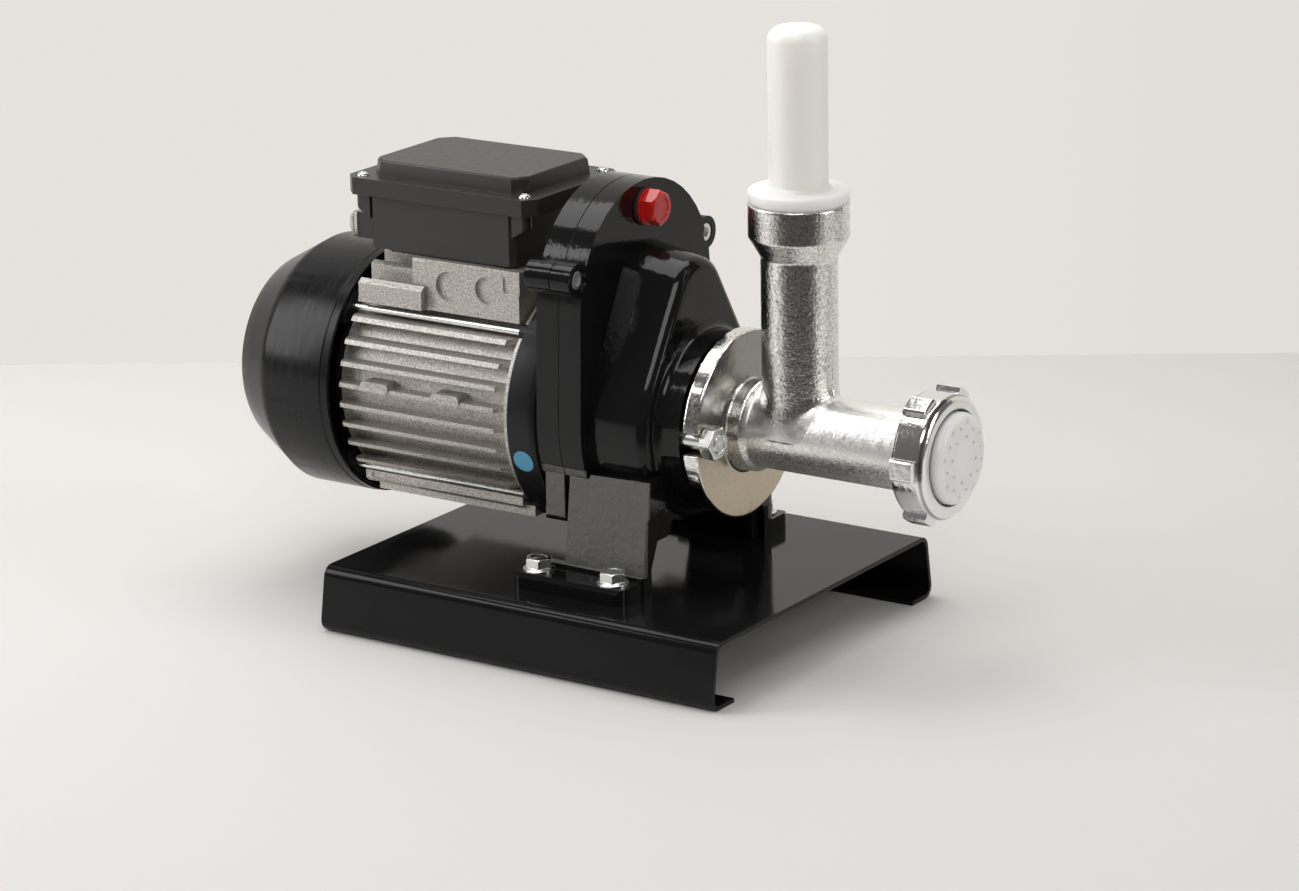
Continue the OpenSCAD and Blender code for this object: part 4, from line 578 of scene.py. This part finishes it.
# Each of these is 1 on its own part of the casting and 0 elsewhere
on_flange = tinned.ramp(along, FLANGE_X + 0.0006, FLANGE_X + 0.0012, 1, 0)
inside_rim = tinned.ramp(from_axis, RIM_RADIUS - 0.0009, RIM_RADIUS - 0.0006, 1, 0)
on_face = tinned.sum_of("MULTIPLY", inside_rim, on_flange)
on_skin = tinned.ramp(on_flange, 0, 1, 1, 0)
on_barrel = tinned.ramp(from_axis, BARREL_RADIUS + 0.001, BARREL_RADIUS + 0.003, 1, 0)
# The barrel's top is smoother, and painted bright without dark grains: a painted sheen
smooth_sheen_top = tinned.sum_of("MULTIPLY", on_barrel, tinned.ramp(rise, -0.013, 0.004))
under = tinned.sum_of("MULTIPLY", on_skin, tinned.ramp(rise, -0.002, -0.016))
# Colour: dark grains in the bright skin, left off the barrel's top as a painted sheen, and a face
# painted lighter and browner lower down as a painted reflection
grains = tinned.sum_of("MAXIMUM", tinned.ramp(tinned.clouds(0.0013, 3, 0.7), 0.36, 0.58), smooth_sheen_top)
skin_tone = tinned.tint(grains, (0.5, 0.48, 0.45), (0.98, 0.97, 0.95))
face_reflection_tone = tinned.tint(tinned.ramp(rise, -0.03, 0.02), (0.5, 0.43, 0.33), (0.33, 0.32, 0.3))
both_tones = tinned.add("ShaderNodeMix", {"Factor": on_face}, data_type="RGBA")
tinned.join(skin_tone, both_tones.inputs[6])
tinned.join(face_reflection_tone, both_tones.inputs[7])
tinned.join(both_tones.outputs[2], tinned.shader.inputs["Base Color"])
# The face, the underside and the smooth top are duller than the tube
smear = tinned.ramp(tinned.clouds(0.003, 3), 0.3, 0.7, 0.07, 0.18)
for place, duller in ((on_face, 0.1), (under, 0.22), (smooth_sheen_top, 0.22)):
    smear = tinned.sum_of("ADD", smear, tinned.ramp(place, 0, 1, 0, duller))
tinned.join(smear, tinned.shader.inputs["Roughness"])
# The underside is less metallic, so it shows lighter: a painted sheen for the light it catches from
# below
tinned.join(tinned.ramp(under, 0, 1, 1.0, 0.7), tinned.shader.inputs["Metallic"])
grain_height = tinned.sum_of("MULTIPLY", on_skin, tinned.ramp(smooth_sheen_top, 0, 1, 1.0, 0.5))
tinned.bump(tinned.sum_of("MULTIPLY", grain_height, tinned.clouds(0.0012, 3, 0.6)), 0.00024)
tinned.bump(tinned.sum_of("MULTIPLY", on_face, tinned.clouds(0.004, 4, 0.6)), 0.00012)
barrel_skin = cast_skin(nodes["extruder_barrel"])
barrel_skin.data.materials.append(tinned.material)
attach(barrel_skin, "machine")
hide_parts("extruder_barrel")
finish_node("auger", tinned.material)


# ---- Ring nut -------------------------------------------------------------------------
# Cast with six lugs and polished, so it shows the room like a mirror.
RING_HOLE, RING_BRIM = 0.0249, 0.0318   # radii: the clearance round the die, the face's outer edge
polished = Finish("polished_ring", (0.9, 0.9, 0.9), 0.1, 1.0)
from_axis = polished.off_axis()
# Painted shade: a dark ring painted round the die's clearance, and a fainter painted dark line at the
# face's outer edge
painted_gap_shade = polished.ramp(from_axis, RING_HOLE + 0.0004, RING_HOLE + 0.0009, 1, 0)
painted_brim_line = polished.sum_of("MULTIPLY", polished.band(from_axis, RING_BRIM, RING_BRIM + 0.0006, 0.0003), 0.6)
polished.tint(polished.sum_of("MAXIMUM", painted_gap_shade, painted_brim_line), (0.9, 0.9, 0.9), (0.1, 0.095, 0.09))
polished.roughen(polished.clouds(0.002, 4), 0.07, 0.2)
polished.bump(polished.clouds(0.0035, 3), 0.00016)
finish_node("ring_nut", polished.material, 0.0008)


# ---- Die and pusher -------------------------------------------------------------------
# Turned and moulded from a white food-grade plastic that lets a little light through.
white_plastic = Finish("food_white", (0.93, 0.905, 0.865), 0.3, subsurface_weight=0.85,
                       subsurface_scale=0.01)
white_plastic.shader.inputs["Subsurface Radius"].default_value = (1.0, 0.9, 0.8)
white_plastic.roughen(white_plastic.clouds(0.004, 3), 0.27, 0.4)
white_plastic.bump(white_plastic.clouds(0.006, 2), 0.00003)
finish_node("die", white_plastic.material)
finish_node("pusher", white_plastic.material, 0.0008)
